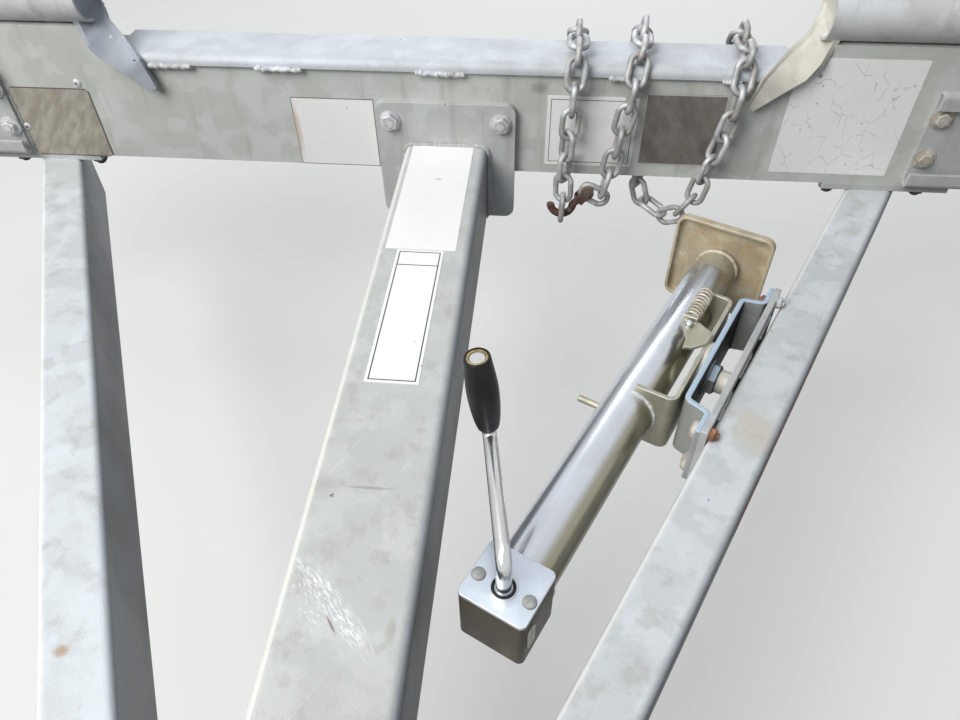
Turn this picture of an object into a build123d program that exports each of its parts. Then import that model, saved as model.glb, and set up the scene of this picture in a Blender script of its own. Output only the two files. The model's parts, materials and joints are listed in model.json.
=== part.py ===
from build123d import *
from math import atan, cos, degrees, radians, sin, sqrt, tan
import os

# Front end of a car transporter: the crossbeam, the drawbar frame and its coupler,
# the swivel jack in its stored position and the safety chains hung over the beam.
# Millimetres. +X to the trailer's left side, +Y to its rear, +Z up. The origin is the
# centre of the crossbeam's rear face, where the deck bolts on.

# Crossbeam
BEAM_LENGTH = 1700.0
BEAM_DEPTH = 68.0
BEAM_HEIGHT = 134.0
BEAM_WALL = 5.0
BEAM_EDGE = 6.0
FACE_PLATE = 5.0
CAP_PLATE = 5.0
CAP_LAP = 7.0
CAP_BEND = 9.0
DECK_BOLT_INSET = 70.0
DECK_BOLT_RISE = 76.0
DECK_BOLT_HOLE = 8.5

# Raised ends that carry the wheel tracks
TRACK_INNER = 415.0
TRACK_LIP = 101.0
NOSE_RADIUS = 30.0
NOSE_SHEET = 3.0
NOSE_OVERHANG = 12.0
RISER_WALL = 4.0

# Folded gussets between the tracks and the beam
GUSSET_PLATE = 5.0
GUSSET_FOOT = 404.0
GUSSET_LEAN = 22.0
GUSSET_TIP = 357.0
GUSSET_TIP_DROP = 38.5
GUSSET_TOE = 359.0

# Rolled-edge brackets bolted to the beam's face
BRACKET_INNER = 557.0
BRACKET_LENGTH = 163.0
BRACKET_SHEET = 4.0
BRACKET_DEPTH = 15.0
BRACKET_ROLL = 20.0
BRACKET_TOP = 57.0
BRACKET_BOTTOM = -63.0

# Tongue and its flange
TUBE = 101.6
TUBE_WALL = 6.4
TUBE_EDGE = 9.5
TONGUE_LENGTH = 1150.0
TONGUE_TOP = -29.0
TONGUE_FALL = 0.05
FLANGE_WIDTH = 170.0
FLANGE_TOP = 25.0
FLANGE_BOTTOM = -129.0
FLANGE_PLATE = 10.0
FLANGE_CORNER = 12.0

# Side rails
RAIL_WIDTH = 50.8
RAIL_HEIGHT = 101.6
RAIL_WALL = 4.8
RAIL_EDGE = 7.0
RAIL_OFFSET = 524.0
RAIL_ANGLE = 27.7
PAD_PLATE = 8.0
PAD_LENGTH = 150.0

# Coupler
COUPLER_PLATE = 6.0
COUPLER_LAP = 150.0
COUPLER_NOSE = 75.0
COUPLER_DEPTH = 72.0
COUPLER_STEP = 22.0
BALL_RADIUS = 25.4
BALL_PLAY = 0.6
SOCKET_WALL = 8.0
SOCKET_BORE = 12.0
LATCH_WIDTH = 28.0
LATCH_SHEET = 3.0
LATCH_HEIGHT = 14.0
LATCH_LENGTH = 84.0
LATCH_PIN = 4.0
LATCH_EAR = 5.0

# Jack
JACK_SIDE = 107.0
JACK_BACK = 385.0
JACK_DROP = 101.0
JACK_SPLAY = 1.3
JACK_TUBE = 50.8
JACK_TUBE_WALL = 2.9
JACK_TUBE_FRONT = 283.0
JACK_TUBE_REAR = 140.0
LEG_TUBE = 44.4
LEG_WALL = 3.2
LEG_REACH = 179.0
LEG_OVERLAP = 320.0
FOOT_SIZE = 110.0
FOOT_SHEET = 3.0
FOOT_RIM = 12.0
FOOT_CORNER = 12.0
FOOT_BEVEL = 3.5
HEAD_SIZE = 57.0
HEAD_LENGTH = 52.0
HEAD_SHEET = 3.0
HEAD_CORNER = 5.0
CRANK_ROD = 12.0
CRANK_SETBACK = 31.0
CRANK_STUB = 10.0
CRANK_RISE = 64.0
CRANK_REACH = 119.0
CRANK_TURN = 36.0
CRANK_BEND = 14.0
GRIP_BEND = 8.0
GRIP_LENGTH = 80.0
GRIP_RADIUS = 13.0
GRIP_LIFT = 8.5
GRIP_LEAN = 6.0
BUSH_RADIUS = 10.5
BUSH_LENGTH = 12.2
HAT_SHEET = 5.0
HAT_HEIGHT = 68.0
HAT_FRONT = 70.0
HAT_REAR = 90.0
HAT_DEPTH = 27.0
HAT_BEND = 6.0
BASE_PLATE = 6.0
BASE_TOP = 36.0
BASE_BOTTOM = -60.0
BASE_FRONT = 102.0
BASE_REAR = 123.0
CHANNEL_FRONT = 78.0
CHANNEL_REAR = 83.0
CHANNEL_SHEET = 4.0
CHANNEL_BEND = 7.0
SWIVEL_DISC = 34.0
SWIVEL_PIN = 12.0
KEEPER_LIP = 7.0
KEEPER_LENGTH = 4.0
DISC_PLATE = 4.0
LOCK_PLATE = 3.0
SPRING_RADIUS = 8.5
SPRING_WIRE = 2.2
PULL_ROD = 3.5
PULL_LENGTH = 92.0

# Safety chains
CHAIN_WIRE = 7.0
LINK_LENGTH = 43.0
LINK_WIDTH = 26.5
LINK_PLAY = 0.2
CHAIN_CLEAR = 1.6
HANG_BACK = 16.0
HOOK_PLATE = 10.0
HOOK_INSIDE = 9.0
HOOK_PIN = 4.0
FORK_CHEEK = 4.5
FORK_RIM = 4.0
FORK_ROOM = 2.2
EYE_PLATE = 4.0
EYE_ROOM = 2.6
EYE_WEB = 6.0

# Clearances
SEAT = 0.3
RUNNING = 0.05

FRONT = -BEAM_DEPTH
TOP = BEAM_HEIGHT / 2
BOTTOM = -BEAM_HEIGHT / 2
CAP_TOP = TOP + CAP_PLATE
HALF_BEAM = BEAM_LENGTH / 2
BEYOND = 2 * (BEAM_LENGTH + TONGUE_LENGTH)

parts = {}


def square_tube(width, height, length, wall, edge):
    """Rectangular tube along +Y from the origin."""
    outer = RectangleRounded(width, height, edge)
    inner = RectangleRounded(width - 2 * wall, height - 2 * wall, max(edge - wall, 1.0))
    return extrude(Plane.XZ * (outer - inner), -length)


def slab(x0, x1, y0, y1, z0, z1):
    """Box between two corners."""
    return Pos((x0 + x1) / 2, (y0 + y1) / 2, (z0 + z1) / 2) * Box(x1 - x0, y1 - y0, z1 - z0)


def plate_xz(points, y0, thickness):
    """Flat plate with an outline in XZ, from y0 towards +Y."""
    plane = Plane(origin=(0, y0, 0), x_dir=(1, 0, 0), z_dir=(0, -1, 0))
    return extrude(plane * make_face(Polyline(points, close=True)), -thickness)


def plate_xy(points, z0, thickness):
    """Flat plate with an outline in XY, from z0 upwards."""
    return extrude(Plane.XY.offset(z0) * make_face(Polyline(points, close=True)), thickness)


def mirrored(shape):
    """The same piece on the other side of the trailer."""
    return mirror(shape, about=Plane.YZ)


# Crossbeam with the bolt holes of the deck
tube_depth = BEAM_DEPTH - FACE_PLATE
beam_section = RectangleRounded(tube_depth, BEAM_HEIGHT, BEAM_EDGE)
beam_section -= Rectangle(tube_depth - 2 * BEAM_WALL, BEAM_HEIGHT - 2 * BEAM_WALL)
beam_tube = Pos(0, -tube_depth / 2, 0) * extrude(Plane.YZ * beam_section, HALF_BEAM, both=True)
deck_bolt_x = HALF_BEAM - DECK_BOLT_INSET
deck_holes = [Pos(sx * deck_bolt_x, -BEAM_DEPTH / 2, sz * DECK_BOLT_RISE / 2)
              * Rot(90, 0, 0) * Cylinder(DECK_BOLT_HOLE, 2 * BEAM_DEPTH)
              for sx in (-1, 1) for sz in (-1, 1)]
parts["crossbeam"] = beam_tube - deck_holes

# Cheek of the gusset: leaning up to the track, then upright inside the nose
cheek_width = GUSSET_PLATE * sqrt(1 + (GUSSET_LEAN / (TRACK_LIP - TOP)) ** 2)
cheek_low = GUSSET_FOOT - cheek_width
cheek_high = cheek_low + GUSSET_LEAN
cheek_out = GUSSET_FOOT + GUSSET_LEAN

# Face plate, low in the middle and raised outside the gussets
face_low = GUSSET_FOOT + SEAT
face_high = cheek_out + SEAT
face_outline = [(-HALF_BEAM, BOTTOM), (HALF_BEAM, BOTTOM), (HALF_BEAM, TRACK_LIP),
                (face_high, TRACK_LIP), (face_low, TOP), (-face_low, TOP), (-face_high, TRACK_LIP),
                (-HALF_BEAM, TRACK_LIP)]
parts["beam_face"] = plate_xz(face_outline, FRONT, FACE_PLATE) - deck_holes

# Bent cap over the low middle of the beam, lapping the face plate
cap_y = FRONT - CAP_PLATE
lap_low = TOP - CAP_LAP
bend_start = (cap_y + CAP_BEND, CAP_TOP)
bend_end = (cap_y, CAP_TOP - CAP_BEND)
cap_section = (Line((0, CAP_TOP), bend_start)
               + RadiusArc(bend_start, bend_end, -CAP_BEND)
               + Polyline(bend_end, (cap_y, lap_low), (FRONT, lap_low), (FRONT, TOP), (0, TOP), (0, CAP_TOP)))
parts["beam_cap"] = extrude(Plane.YZ * make_face(cap_section), cheek_low - SEAT, both=True)

# Riser and nose under and along each wheel track
riser_height = TRACK_LIP - TOP
riser_depth = tube_depth - SEAT
riser_start = cheek_out + 3 * SEAT
riser = square_tube(riser_depth, riser_height, HALF_BEAM - riser_start, RISER_WALL, RISER_WALL)
riser = Pos(riser_start, -riser_depth / 2, TOP + riser_height / 2) * Rot(0, 0, -90) * riser
parts["track_riser_left"] = riser
parts["track_riser_right"] = mirrored(riser)

nose_y = FRONT - NOSE_OVERHANG + NOSE_RADIUS
nose_z = TRACK_LIP + NOSE_RADIUS


def nose_bend(radius):
    """Half-round front of the nose at one radius, from its foot to its top."""
    return ThreePointArc((nose_y, nose_z - radius), (nose_y - radius, nose_z), (nose_y, nose_z + radius))


def nose_back(radius, y):
    """The nose's rear outline at one radius, from its top round to its foot."""
    return Polyline((nose_y, nose_z + radius), (y, nose_z + radius), (y, nose_z - radius),
                    (nose_y, nose_z - radius))


inner_radius = NOSE_RADIUS - NOSE_SHEET
free_radius = inner_radius - SEAT
nose_face = make_face(nose_bend(NOSE_RADIUS) + nose_back(NOSE_RADIUS, 0))
nose_face -= make_face(nose_bend(inner_radius) + nose_back(inner_radius, 1))
track_mid = (TRACK_INNER + HALF_BEAM) / 2
track_half = (HALF_BEAM - TRACK_INNER) / 2
nose = Pos(track_mid, 0, 0) * extrude(Plane.YZ * nose_face, track_half, both=True)
nose -= slab(0, riser_start, nose_y, BEAM_DEPTH, TRACK_LIP - SEAT, TRACK_LIP + NOSE_SHEET + SEAT)
parts["track_nose_left"] = nose
parts["track_nose_right"] = mirrored(nose)

# Gusset: the cheek, and a sheet folded over the cap and joggled down on to the face
lap_y = cap_y - GUSSET_PLATE
foot_top = CAP_TOP + GUSSET_PLATE
nose_inside = make_face(nose_bend(free_radius) + nose_back(free_radius, 0))
cheek_ceiling = nose_z + free_radius
cheek = plate_xz([(cheek_low, TOP), (GUSSET_FOOT, TOP), (cheek_out, TRACK_LIP), (cheek_out, cheek_ceiling),
                  (cheek_high, cheek_ceiling), (cheek_high, TRACK_LIP)], lap_y, -lap_y)
cheek = cheek & (slab(0, HALF_BEAM, lap_y, 0, TOP, TRACK_LIP - SEAT)
                 + slab(0, HALF_BEAM, nose_y + SEAT, 0, TOP, nose_z)
                 + extrude(Plane.YZ * nose_inside, HALF_BEAM))
fold_start = (cap_y + CAP_BEND, foot_top)
fold_end = (lap_y, CAP_TOP - CAP_BEND)
joggle = lap_low - CAP_LAP
tip_low = TOP - GUSSET_TIP_DROP
fold_section = (Line((-SEAT, foot_top), fold_start)
                + RadiusArc(fold_start, fold_end, -(CAP_BEND + GUSSET_PLATE))
                + Polyline(fold_end, (lap_y, lap_low + 2), (cap_y, joggle + 2), (cap_y, tip_low),
                           (FRONT, tip_low), (FRONT, joggle), (cap_y, lap_low - SEAT), bend_end)
                + RadiusArc(bend_end, bend_start, CAP_BEND)
                + Polyline(bend_start, (-SEAT, CAP_TOP), (-SEAT, foot_top)))
fold_reach = GUSSET_FOOT - GUSSET_TIP + GUSSET_PLATE * 3
fold = Pos(GUSSET_TIP - GUSSET_PLATE * 3, 0, 0) * extrude(Plane.YZ * make_face(fold_section), fold_reach)
foot_zone = plate_xy([(cheek_low + 1, lap_y), (cheek_low + 1, 0), (cheek_low - 3, 0), (GUSSET_TOE + 20, -60),
                      (GUSSET_TOE, lap_y)], CAP_TOP - CAP_BEND, CAP_BEND + GUSSET_PLATE)
lap_zone = plate_xz([(GUSSET_FOOT, CAP_TOP), (GUSSET_FOOT, TOP), (383.6, 51), (GUSSET_TIP, tip_low),
                     (GUSSET_TIP - 10, tip_low + 6), (GUSSET_TOE - 6, TOP), (GUSSET_TOE, CAP_TOP)],
                    lap_y - 1, 2 * GUSSET_PLATE + CAP_BEND)
gusset = cheek + (fold & (foot_zone + lap_zone))
parts["gusset_left"] = gusset
parts["gusset_right"] = mirrored(gusset)

# Bracket on the face: a sheet with its top edge rolled down and its bottom edge rolled up
sheet_back = FRONT - BRACKET_SHEET / 2
sheet_front = FRONT - BRACKET_DEPTH + BRACKET_SHEET / 2
sheet_top = BRACKET_TOP - BRACKET_SHEET / 2
sheet_low = BRACKET_BOTTOM + BRACKET_SHEET / 2
roll = (sheet_back - sheet_front) / 2 - 0.1
bracket_line = FilletPolyline((sheet_front, BRACKET_TOP - BRACKET_ROLL), (sheet_front, sheet_top),
                              (sheet_back, sheet_top), (sheet_back, sheet_low), (sheet_front, sheet_low),
                              (sheet_front, BRACKET_BOTTOM + BRACKET_ROLL), radius=roll)
bracket = extrude(Plane.YZ * trace(bracket_line, BRACKET_SHEET), BRACKET_LENGTH)
bracket = Pos(BRACKET_INNER, 0, 0) * bracket
parts["face_bracket_left"] = bracket
parts["face_bracket_right"] = mirrored(bracket)

# Tongue flange on the beam's face
flange_mid = (FLANGE_TOP + FLANGE_BOTTOM) / 2
flange_face = RectangleRounded(FLANGE_WIDTH, FLANGE_TOP - FLANGE_BOTTOM, FLANGE_CORNER)
parts["tongue_flange"] = Pos(0, FRONT, flange_mid) * extrude(Plane.XZ * flange_face, FLANGE_PLATE)

# Tongue: a square tube that falls gently towards the coupler
tongue_slope = degrees(atan(TONGUE_FALL))
tongue_frame = Pos(0, FRONT, TONGUE_TOP - TUBE / 2) * Rot(tongue_slope, 0, 0)
coupler_frame = tongue_frame * Pos(0, -TONGUE_LENGTH, 0)
tongue = coupler_frame * square_tube(TUBE, TUBE, TONGUE_LENGTH + FLANGE_PLATE, TUBE_WALL, TUBE_EDGE)
in_front_of_flange = slab(-TUBE, TUBE, -BEYOND, FRONT - FLANGE_PLATE, -BEYOND, BEYOND)
parts["tongue"] = tongue & in_front_of_flange

# Side rails, mitred on the tongue's sides and cut flush with the beam's rear face
rail_frame = Pos(RAIL_OFFSET, FRONT, 0) * Rot(0, 0, -RAIL_ANGLE)
rail_top = BOTTOM - PAD_PLATE
rail_run = RAIL_OFFSET / sin(radians(RAIL_ANGLE)) + RAIL_HEIGHT
rail_tail = (BEAM_DEPTH + RAIL_WIDTH) / cos(radians(RAIL_ANGLE))
rail = Pos(0, -rail_run, rail_top - RAIL_HEIGHT / 2) * square_tube(
    RAIL_WIDTH, RAIL_HEIGHT, rail_run + rail_tail, RAIL_WALL, RAIL_EDGE)
rail = (rail_frame * rail) & slab(TUBE / 2, BEYOND, -BEYOND, 0, -BEYOND, BEYOND)
parts["rail_left"] = rail
parts["rail_right"] = mirrored(rail)

# Pads between the rails and the beam
pad_x = RAIL_OFFSET + BEAM_DEPTH / 2 * tan(radians(RAIL_ANGLE))
pad = slab(pad_x - PAD_LENGTH / 2, pad_x + PAD_LENGTH / 2, FRONT, 0, rail_top, BOTTOM)
parts["rail_pad_left"] = pad
parts["rail_pad_right"] = mirrored(pad)

# Coupler: a pressed saddle over the tongue's nose that steps down to the ball socket
saddle_top = TUBE / 2 + COUPLER_PLATE + SEAT
coupler_low = saddle_top - COUPLER_DEPTH
nose_top = saddle_top - COUPLER_STEP
socket_radius = BALL_RADIUS + BALL_PLAY
socket_out = socket_radius + SOCKET_WALL
nose_half = socket_out + 4.0


def coupler_block(inset):
    """The coupler's outer form, drawn in by the given amount on its top and sides."""
    half = saddle_top - inset
    tip = nose_half - inset
    plan = make_face(Polyline((tip, -COUPLER_NOSE), (half, 0), (half, COUPLER_LAP), (-half, COUPLER_LAP),
                              (-half, 0), (-tip, -COUPLER_NOSE), close=True))
    plan += Pos(0, -COUPLER_NOSE, 0) * Circle(tip)
    high = saddle_top - inset
    front = -COUPLER_NOSE - 2 * nose_half
    side = make_face(Polyline((front, coupler_low), (COUPLER_LAP, coupler_low), (COUPLER_LAP, high), (0, high),
                              (-COUPLER_STEP * 1.5, nose_top - inset), (front, nose_top - inset), close=True))
    tall = Pos(0, 0, coupler_low) * extrude(plan, COUPLER_DEPTH)
    return tall & extrude(Plane.YZ * side, saddle_top, both=True)


shell = coupler_block(0)
shell = chamfer(shell.edges().filter_by(Axis.Y).sort_by(Axis.Z)[-2:], 3.0)
at_ball = Pos(0, -COUPLER_NOSE, 0)
socket_z = coupler_low + SOCKET_BORE
boss = at_ball * Pos(0, 0, coupler_low) * extrude(Circle(socket_out), nose_top - coupler_low)
crown = at_ball * Pos(0, 0, nose_top) * Cone(socket_out, socket_radius * 0.6, COUPLER_PLATE * 1.5)
bore = at_ball * Pos(0, 0, coupler_low - 1) * extrude(Circle(socket_radius), SOCKET_BORE + 1)
ball_room = at_ball * Pos(0, 0, socket_z) * Sphere(socket_radius)
ear_x = LATCH_WIDTH / 2 + SEAT
ear_low = saddle_top - COUPLER_PLATE / 2
latch_z = saddle_top + SEAT + LATCH_HEIGHT / 2
ear_side = Pos(0, LATCH_HEIGHT, latch_z) * Rot(0, 90, 0) * Cylinder(LATCH_HEIGHT / 2, LATCH_EAR)
ear_foot = slab(-LATCH_EAR / 2, LATCH_EAR / 2, LATCH_HEIGHT / 2, LATCH_HEIGHT * 1.5, ear_low, latch_z)
ears = [Pos(side * (ear_x + LATCH_EAR / 2), 0, 0) * (ear_side + ear_foot) for side in (-1, 1)]
coupler = (shell - coupler_block(COUPLER_PLATE)) + boss + crown + ears
latch_hole = Pos(0, LATCH_HEIGHT, latch_z) * Rot(0, 90, 0) * Cylinder(LATCH_PIN + RUNNING, 3 * LATCH_WIDTH)
parts["coupler_body"] = coupler_frame * (coupler - bore - ball_room - latch_hole)

# Latch lever between the ears, a channel with its open side down, and its pin
latch_low = saddle_top + SEAT
latch_high = latch_low + LATCH_HEIGHT
lever = slab(-LATCH_WIDTH / 2, LATCH_WIDTH / 2, 0, LATCH_LENGTH, latch_low, latch_high)
lever = chamfer(lever.edges().filter_by(Axis.Y).sort_by(Axis.Z)[-2:], LATCH_SHEET)
lever -= slab(LATCH_SHEET - LATCH_WIDTH / 2, LATCH_WIDTH / 2 - LATCH_SHEET, -1, LATCH_LENGTH - LATCH_SHEET,
              saddle_top, latch_high - LATCH_SHEET)
parts["coupler_latch"] = coupler_frame * (lever - latch_hole)
pin_length = 2 * (ear_x + LATCH_EAR) + LATCH_PIN
latch_pin = Pos(0, LATCH_HEIGHT, latch_z) * Rot(0, 90, 0) * Cylinder(LATCH_PIN, pin_length)
parts["latch_pin"] = coupler_frame * latch_pin

# Jack frame: on the left rail, axis along the rail, stored with its foot to the rear
jack_frame = rail_frame * Pos(-JACK_SIDE, -JACK_BACK, -JACK_DROP) * Rot(0, 0, JACK_SPLAY)
base_far = JACK_SIDE - RAIL_WIDTH / 2 - BASE_FRONT * sin(radians(JACK_SPLAY)) - SEAT
base_near = base_far - BASE_PLATE
half_hat = HAT_HEIGHT / 2
parts["jack_base_plate"] = jack_frame * slab(base_near, base_far, -BASE_FRONT, BASE_REAR, BASE_BOTTOM, BASE_TOP)

# Hat bracket bolted to the base plate
hat_line = base_near - HAT_SHEET / 2
web_line = hat_line - HAT_DEPTH + HAT_SHEET
hat_path = FilletPolyline((hat_line, -BASE_FRONT), (hat_line, -HAT_FRONT - HAT_BEND),
                          (web_line, -HAT_FRONT), (web_line, HAT_REAR),
                          (hat_line, HAT_REAR + HAT_BEND), (hat_line, BASE_REAR), radius=HAT_BEND)
hat = Pos(0, 0, -half_hat) * extrude(trace(hat_path, HAT_SHEET), HAT_HEIGHT)
pin_axis = Rot(0, 90, 0)
pin_hole = pin_axis * Cylinder(SWIVEL_PIN + RUNNING, 4 * JACK_SIDE)
parts["jack_hat_bracket"] = jack_frame * (hat - pin_hole)

# Channel welded to the jack's tube, turning on the swivel pin
hat_face = web_line - HAT_SHEET / 2
channel_line = hat_face - DISC_PLATE - CHANNEL_SHEET / 2
channel_path = FilletPolyline((3, -CHANNEL_FRONT), (channel_line, -CHANNEL_FRONT), (channel_line, CHANNEL_REAR),
                              (9, CHANNEL_REAR), radius=CHANNEL_BEND)
channel = Pos(0, 0, -half_hat) * extrude(trace(channel_path, CHANNEL_SHEET), HAT_HEIGHT)
tube_space = Rot(90, 0, 0) * Cylinder(JACK_TUBE / 2 + 2 * RUNNING, 2 * (JACK_TUBE_FRONT + JACK_TUBE_REAR))
parts["jack_channel"] = jack_frame * (channel - tube_space - pin_hole)

# Swivel pin with its disc between hat and channel, and a keeper lip inside the channel
disc_far = hat_face - RUNNING
disc_near = channel_line + CHANNEL_SHEET / 2 + RUNNING
disc = Pos((disc_near + disc_far) / 2, 0, 0) * pin_axis * Cylinder(SWIVEL_DISC, disc_far - disc_near)
keeper_far = channel_line - CHANNEL_SHEET / 2 - RUNNING
keeper_mid = keeper_far - KEEPER_LENGTH / 2
keeper_radius = SWIVEL_PIN + KEEPER_LIP
keeper = Pos(keeper_mid, 0, 0) * pin_axis * Cone(keeper_radius - KEEPER_LIP / 2, keeper_radius, KEEPER_LENGTH)
pin_near = keeper_far - KEEPER_LENGTH
pin_far = hat_line
pin = Pos((pin_near + pin_far) / 2, 0, 0) * pin_axis * Cylinder(SWIVEL_PIN, pin_far - pin_near)
parts["swivel_pin"] = jack_frame * ((disc + pin + keeper) - tube_space)

# Jack tube, leg and foot
tube_ring = Circle(JACK_TUBE / 2) - Circle(JACK_TUBE / 2 - JACK_TUBE_WALL)
outer = Pos(0, -JACK_TUBE_FRONT, 0) * extrude(Plane.XZ * tube_ring, -(JACK_TUBE_FRONT + JACK_TUBE_REAR))
parts["jack_tube"] = jack_frame * outer
leg_ring = Circle(LEG_TUBE / 2) - Circle(LEG_TUBE / 2 - LEG_WALL)
leg_start = JACK_TUBE_REAR - LEG_OVERLAP
leg = Pos(0, leg_start, 0) * extrude(Plane.XZ * leg_ring, -(LEG_REACH - leg_start))
parts["jack_leg"] = jack_frame * leg
dish = extrude(Plane.XZ * RectangleRounded(FOOT_SIZE, FOOT_SIZE, FOOT_CORNER), -FOOT_RIM)
dish = chamfer(dish.faces().sort_by(Axis.Y)[-1].edges(), FOOT_BEVEL)
dish_room = RectangleRounded(FOOT_SIZE - 2 * FOOT_SHEET, FOOT_SIZE - 2 * FOOT_SHEET, FOOT_CORNER - FOOT_SHEET)
dish -= extrude(Plane.XZ * dish_room, -(FOOT_RIM - FOOT_SHEET))
parts["jack_foot"] = jack_frame * Pos(0, LEG_REACH - FOOT_RIM + FOOT_SHEET, 0) * dish

# Gear head with its cover and the crank's bush
head_half = HEAD_SIZE / 2
head_y = -JACK_TUBE_FRONT - HEAD_LENGTH / 2
head = Pos(0, head_y, 0) * Box(HEAD_SIZE, HEAD_LENGTH, HEAD_SIZE)
head = fillet(head.edges().filter_by(Axis.Z), HEAD_CORNER)
head -= Pos(0, head_y, HEAD_SHEET) * Box(HEAD_SIZE - 2 * HEAD_SHEET, HEAD_LENGTH - 2 * HEAD_SHEET, HEAD_SIZE)
parts["jack_head"] = jack_frame * head
crank_y = -JACK_TUBE_FRONT - CRANK_SETBACK
cover = Pos(0, head_y, head_half + HEAD_SHEET / 2) * Box(HEAD_SIZE, HEAD_LENGTH, HEAD_SHEET)
cover = fillet(cover.edges().filter_by(Axis.Z), HEAD_CORNER)
bush_low = head_half + HEAD_SHEET + 1.2 - BUSH_LENGTH
bush = Pos(0, crank_y, bush_low) * extrude(Circle(BUSH_RADIUS), BUSH_LENGTH)
bush_bore = Pos(0, crank_y, 0) * Cylinder(CRANK_ROD / 2 + RUNNING, 4 * HEAD_SIZE)
parts["jack_cover"] = jack_frame * (cover + bush - bush_bore)

# Crank: shaft, arm and an upright for the grip that leans to the trailer's right
arm_x = -CRANK_REACH * sin(radians(CRANK_TURN))
arm_y = crank_y + CRANK_REACH * cos(radians(CRANK_TURN))
lean_turn = radians(RAIL_ANGLE - JACK_SPLAY)
lean = sin(radians(GRIP_LEAN))
upright = Vector(-lean * cos(lean_turn), -lean * sin(lean_turn), cos(radians(GRIP_LEAN)))
arm_end = Vector(arm_x, arm_y, CRANK_RISE)
grip_top = arm_end + upright * (GRIP_LIFT + GRIP_LENGTH - 1.5)
crank_path = FilletPolyline((0, crank_y, -CRANK_STUB), (0, crank_y, CRANK_RISE), arm_end, grip_top,
                            radius=[CRANK_BEND, GRIP_BEND])
rod_start = Plane(origin=(0, crank_y, -CRANK_STUB), z_dir=(0, 0, 1))
parts["crank_rod"] = jack_frame * sweep(rod_start * Circle(CRANK_ROD / 2), crank_path)

# Moulded grip on the upright: share of its length and radius there
grip_table = [(0.0, 8.5), (0.06, 10.4), (0.32, 12.3), (0.58, GRIP_RADIUS), (0.9, 11.0), (1.0, 10.0)]
grip_bore = CRANK_ROD / 2 + RUNNING
grip_side = [(radius, GRIP_LIFT + share * GRIP_LENGTH) for share, radius in grip_table]
grip_line = [(grip_bore, GRIP_LIFT)] + grip_side + [(grip_bore, GRIP_LIFT + GRIP_LENGTH)]
grip_face = make_face(Polyline(grip_line, close=True))
grip = revolve(Plane.XZ * grip_face, Axis.Z)
parts["crank_grip"] = jack_frame * Plane(origin=arm_end, z_dir=upright).location * grip

# Swivel lock: plate, spring and pull rod
lock_plate = plate_xy([(10, 18), (10, 26), (24, 29), (41, 20), (40, 4), (31, -8), (22, -12), (20, 2)],
                      half_hat + SEAT, LOCK_PLATE)
tab_y = 26.0
lock_tab = slab(7, 22, tab_y, tab_y + LOCK_PLATE, half_hat - 2 * LOCK_PLATE, half_hat + 3 * LOCK_PLATE)
parts["lock_plate"] = jack_frame * (lock_plate + lock_tab)
spring_start = tab_y + LOCK_PLATE + SEAT
spring_end = CHANNEL_REAR - CHANNEL_SHEET / 2 - SEAT
coil = Cylinder(SPRING_RADIUS, spring_end - spring_start) - Cylinder(SPRING_RADIUS - SPRING_WIRE, BEAM_DEPTH)
spring = Pos(14.5, (spring_start + spring_end) / 2, half_hat + 1.6) * Rot(90, 0, 0) * coil
parts["lock_spring"] = jack_frame * spring
pull = Pos(-10, -66, -JACK_TUBE / 2 - PULL_ROD - SEAT) * pin_axis * Cylinder(PULL_ROD, PULL_LENGTH)
parts["pull_rod"] = jack_frame * pull

# Safety chains: one link, a bent bar of eight sides, laid along X in the XY plane
link_mid = (LINK_WIDTH - CHAIN_WIRE) / 2
link_half = (LINK_LENGTH - LINK_WIDTH) / 2
link_pitch = LINK_LENGTH - 2 * CHAIN_WIRE - LINK_PLAY
corner_reach = link_mid / cos(radians(22.5))
link_end = [(link_half + corner_reach * sin(radians(turn)), corner_reach * cos(radians(turn)))
            for turn in (22.5, 67.5, 112.5, 157.5)]
link_corners = link_end + [(-x, -y) for x, y in link_end]
wire_turns = [radians(turn) for turn in range(0, 360, 45)]


def bent_bar(corners):
    """Closed bar of eight sides along a flat ring of corners, mitred at each corner."""
    rings = []
    for index, corner in enumerate(corners):
        here = Vector(*corner)
        before = Vector(*corners[index - 1])
        after = Vector(*corners[(index + 1) % len(corners)])
        along_in = (here - before).normalized()
        mitre = (along_in + (after - here).normalized()).normalized()
        across = Vector(mitre.Y, -mitre.X) * (CHAIN_WIRE / 2 / mitre.dot(along_in))
        rings.append([here + across * cos(turn) + Vector(0, 0, CHAIN_WIRE / 2) * sin(turn)
                      for turn in wire_turns])
    faces = []
    for first, second in zip(rings, rings[1:] + rings[:1]):
        for a in range(len(wire_turns)):
            b = (a + 1) % len(wire_turns)
            faces.append(Face(Wire.make_polygon([first[a], first[b], second[b], second[a]], close=True)))
    return Solid(Shell(faces))


link = bent_bar(link_corners)

# A link's reach from its middle to where it meets its neighbour: halfway between their ends
# on a straight stretch, at its own rounded end where the chain turns in its plane, and past
# its end where the chain turns in the neighbour's plane
MIDWAY = link_pitch / 2
OWN_END = link_half
PAST_END = link_pitch - link_half


def points_along(route, steps):
    """Points on a route of straight runs, each one step further on than the last."""
    found = [Vector(*route[0])]
    runs = [(Vector(*start), Vector(*end)) for start, end in zip(route, route[1:])]
    for step in steps:
        while (runs[0][1] - found[-1]).length < step and len(runs) > 1:
            runs.pop(0)
        start, end = runs[0]
        along = (end - start).normalized()
        offset = start - found[-1]
        ahead = -along.dot(offset)
        found.append(start + along * (ahead + sqrt(max(step ** 2 - offset.dot(offset) + ahead ** 2, 0))))
    return found


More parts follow.
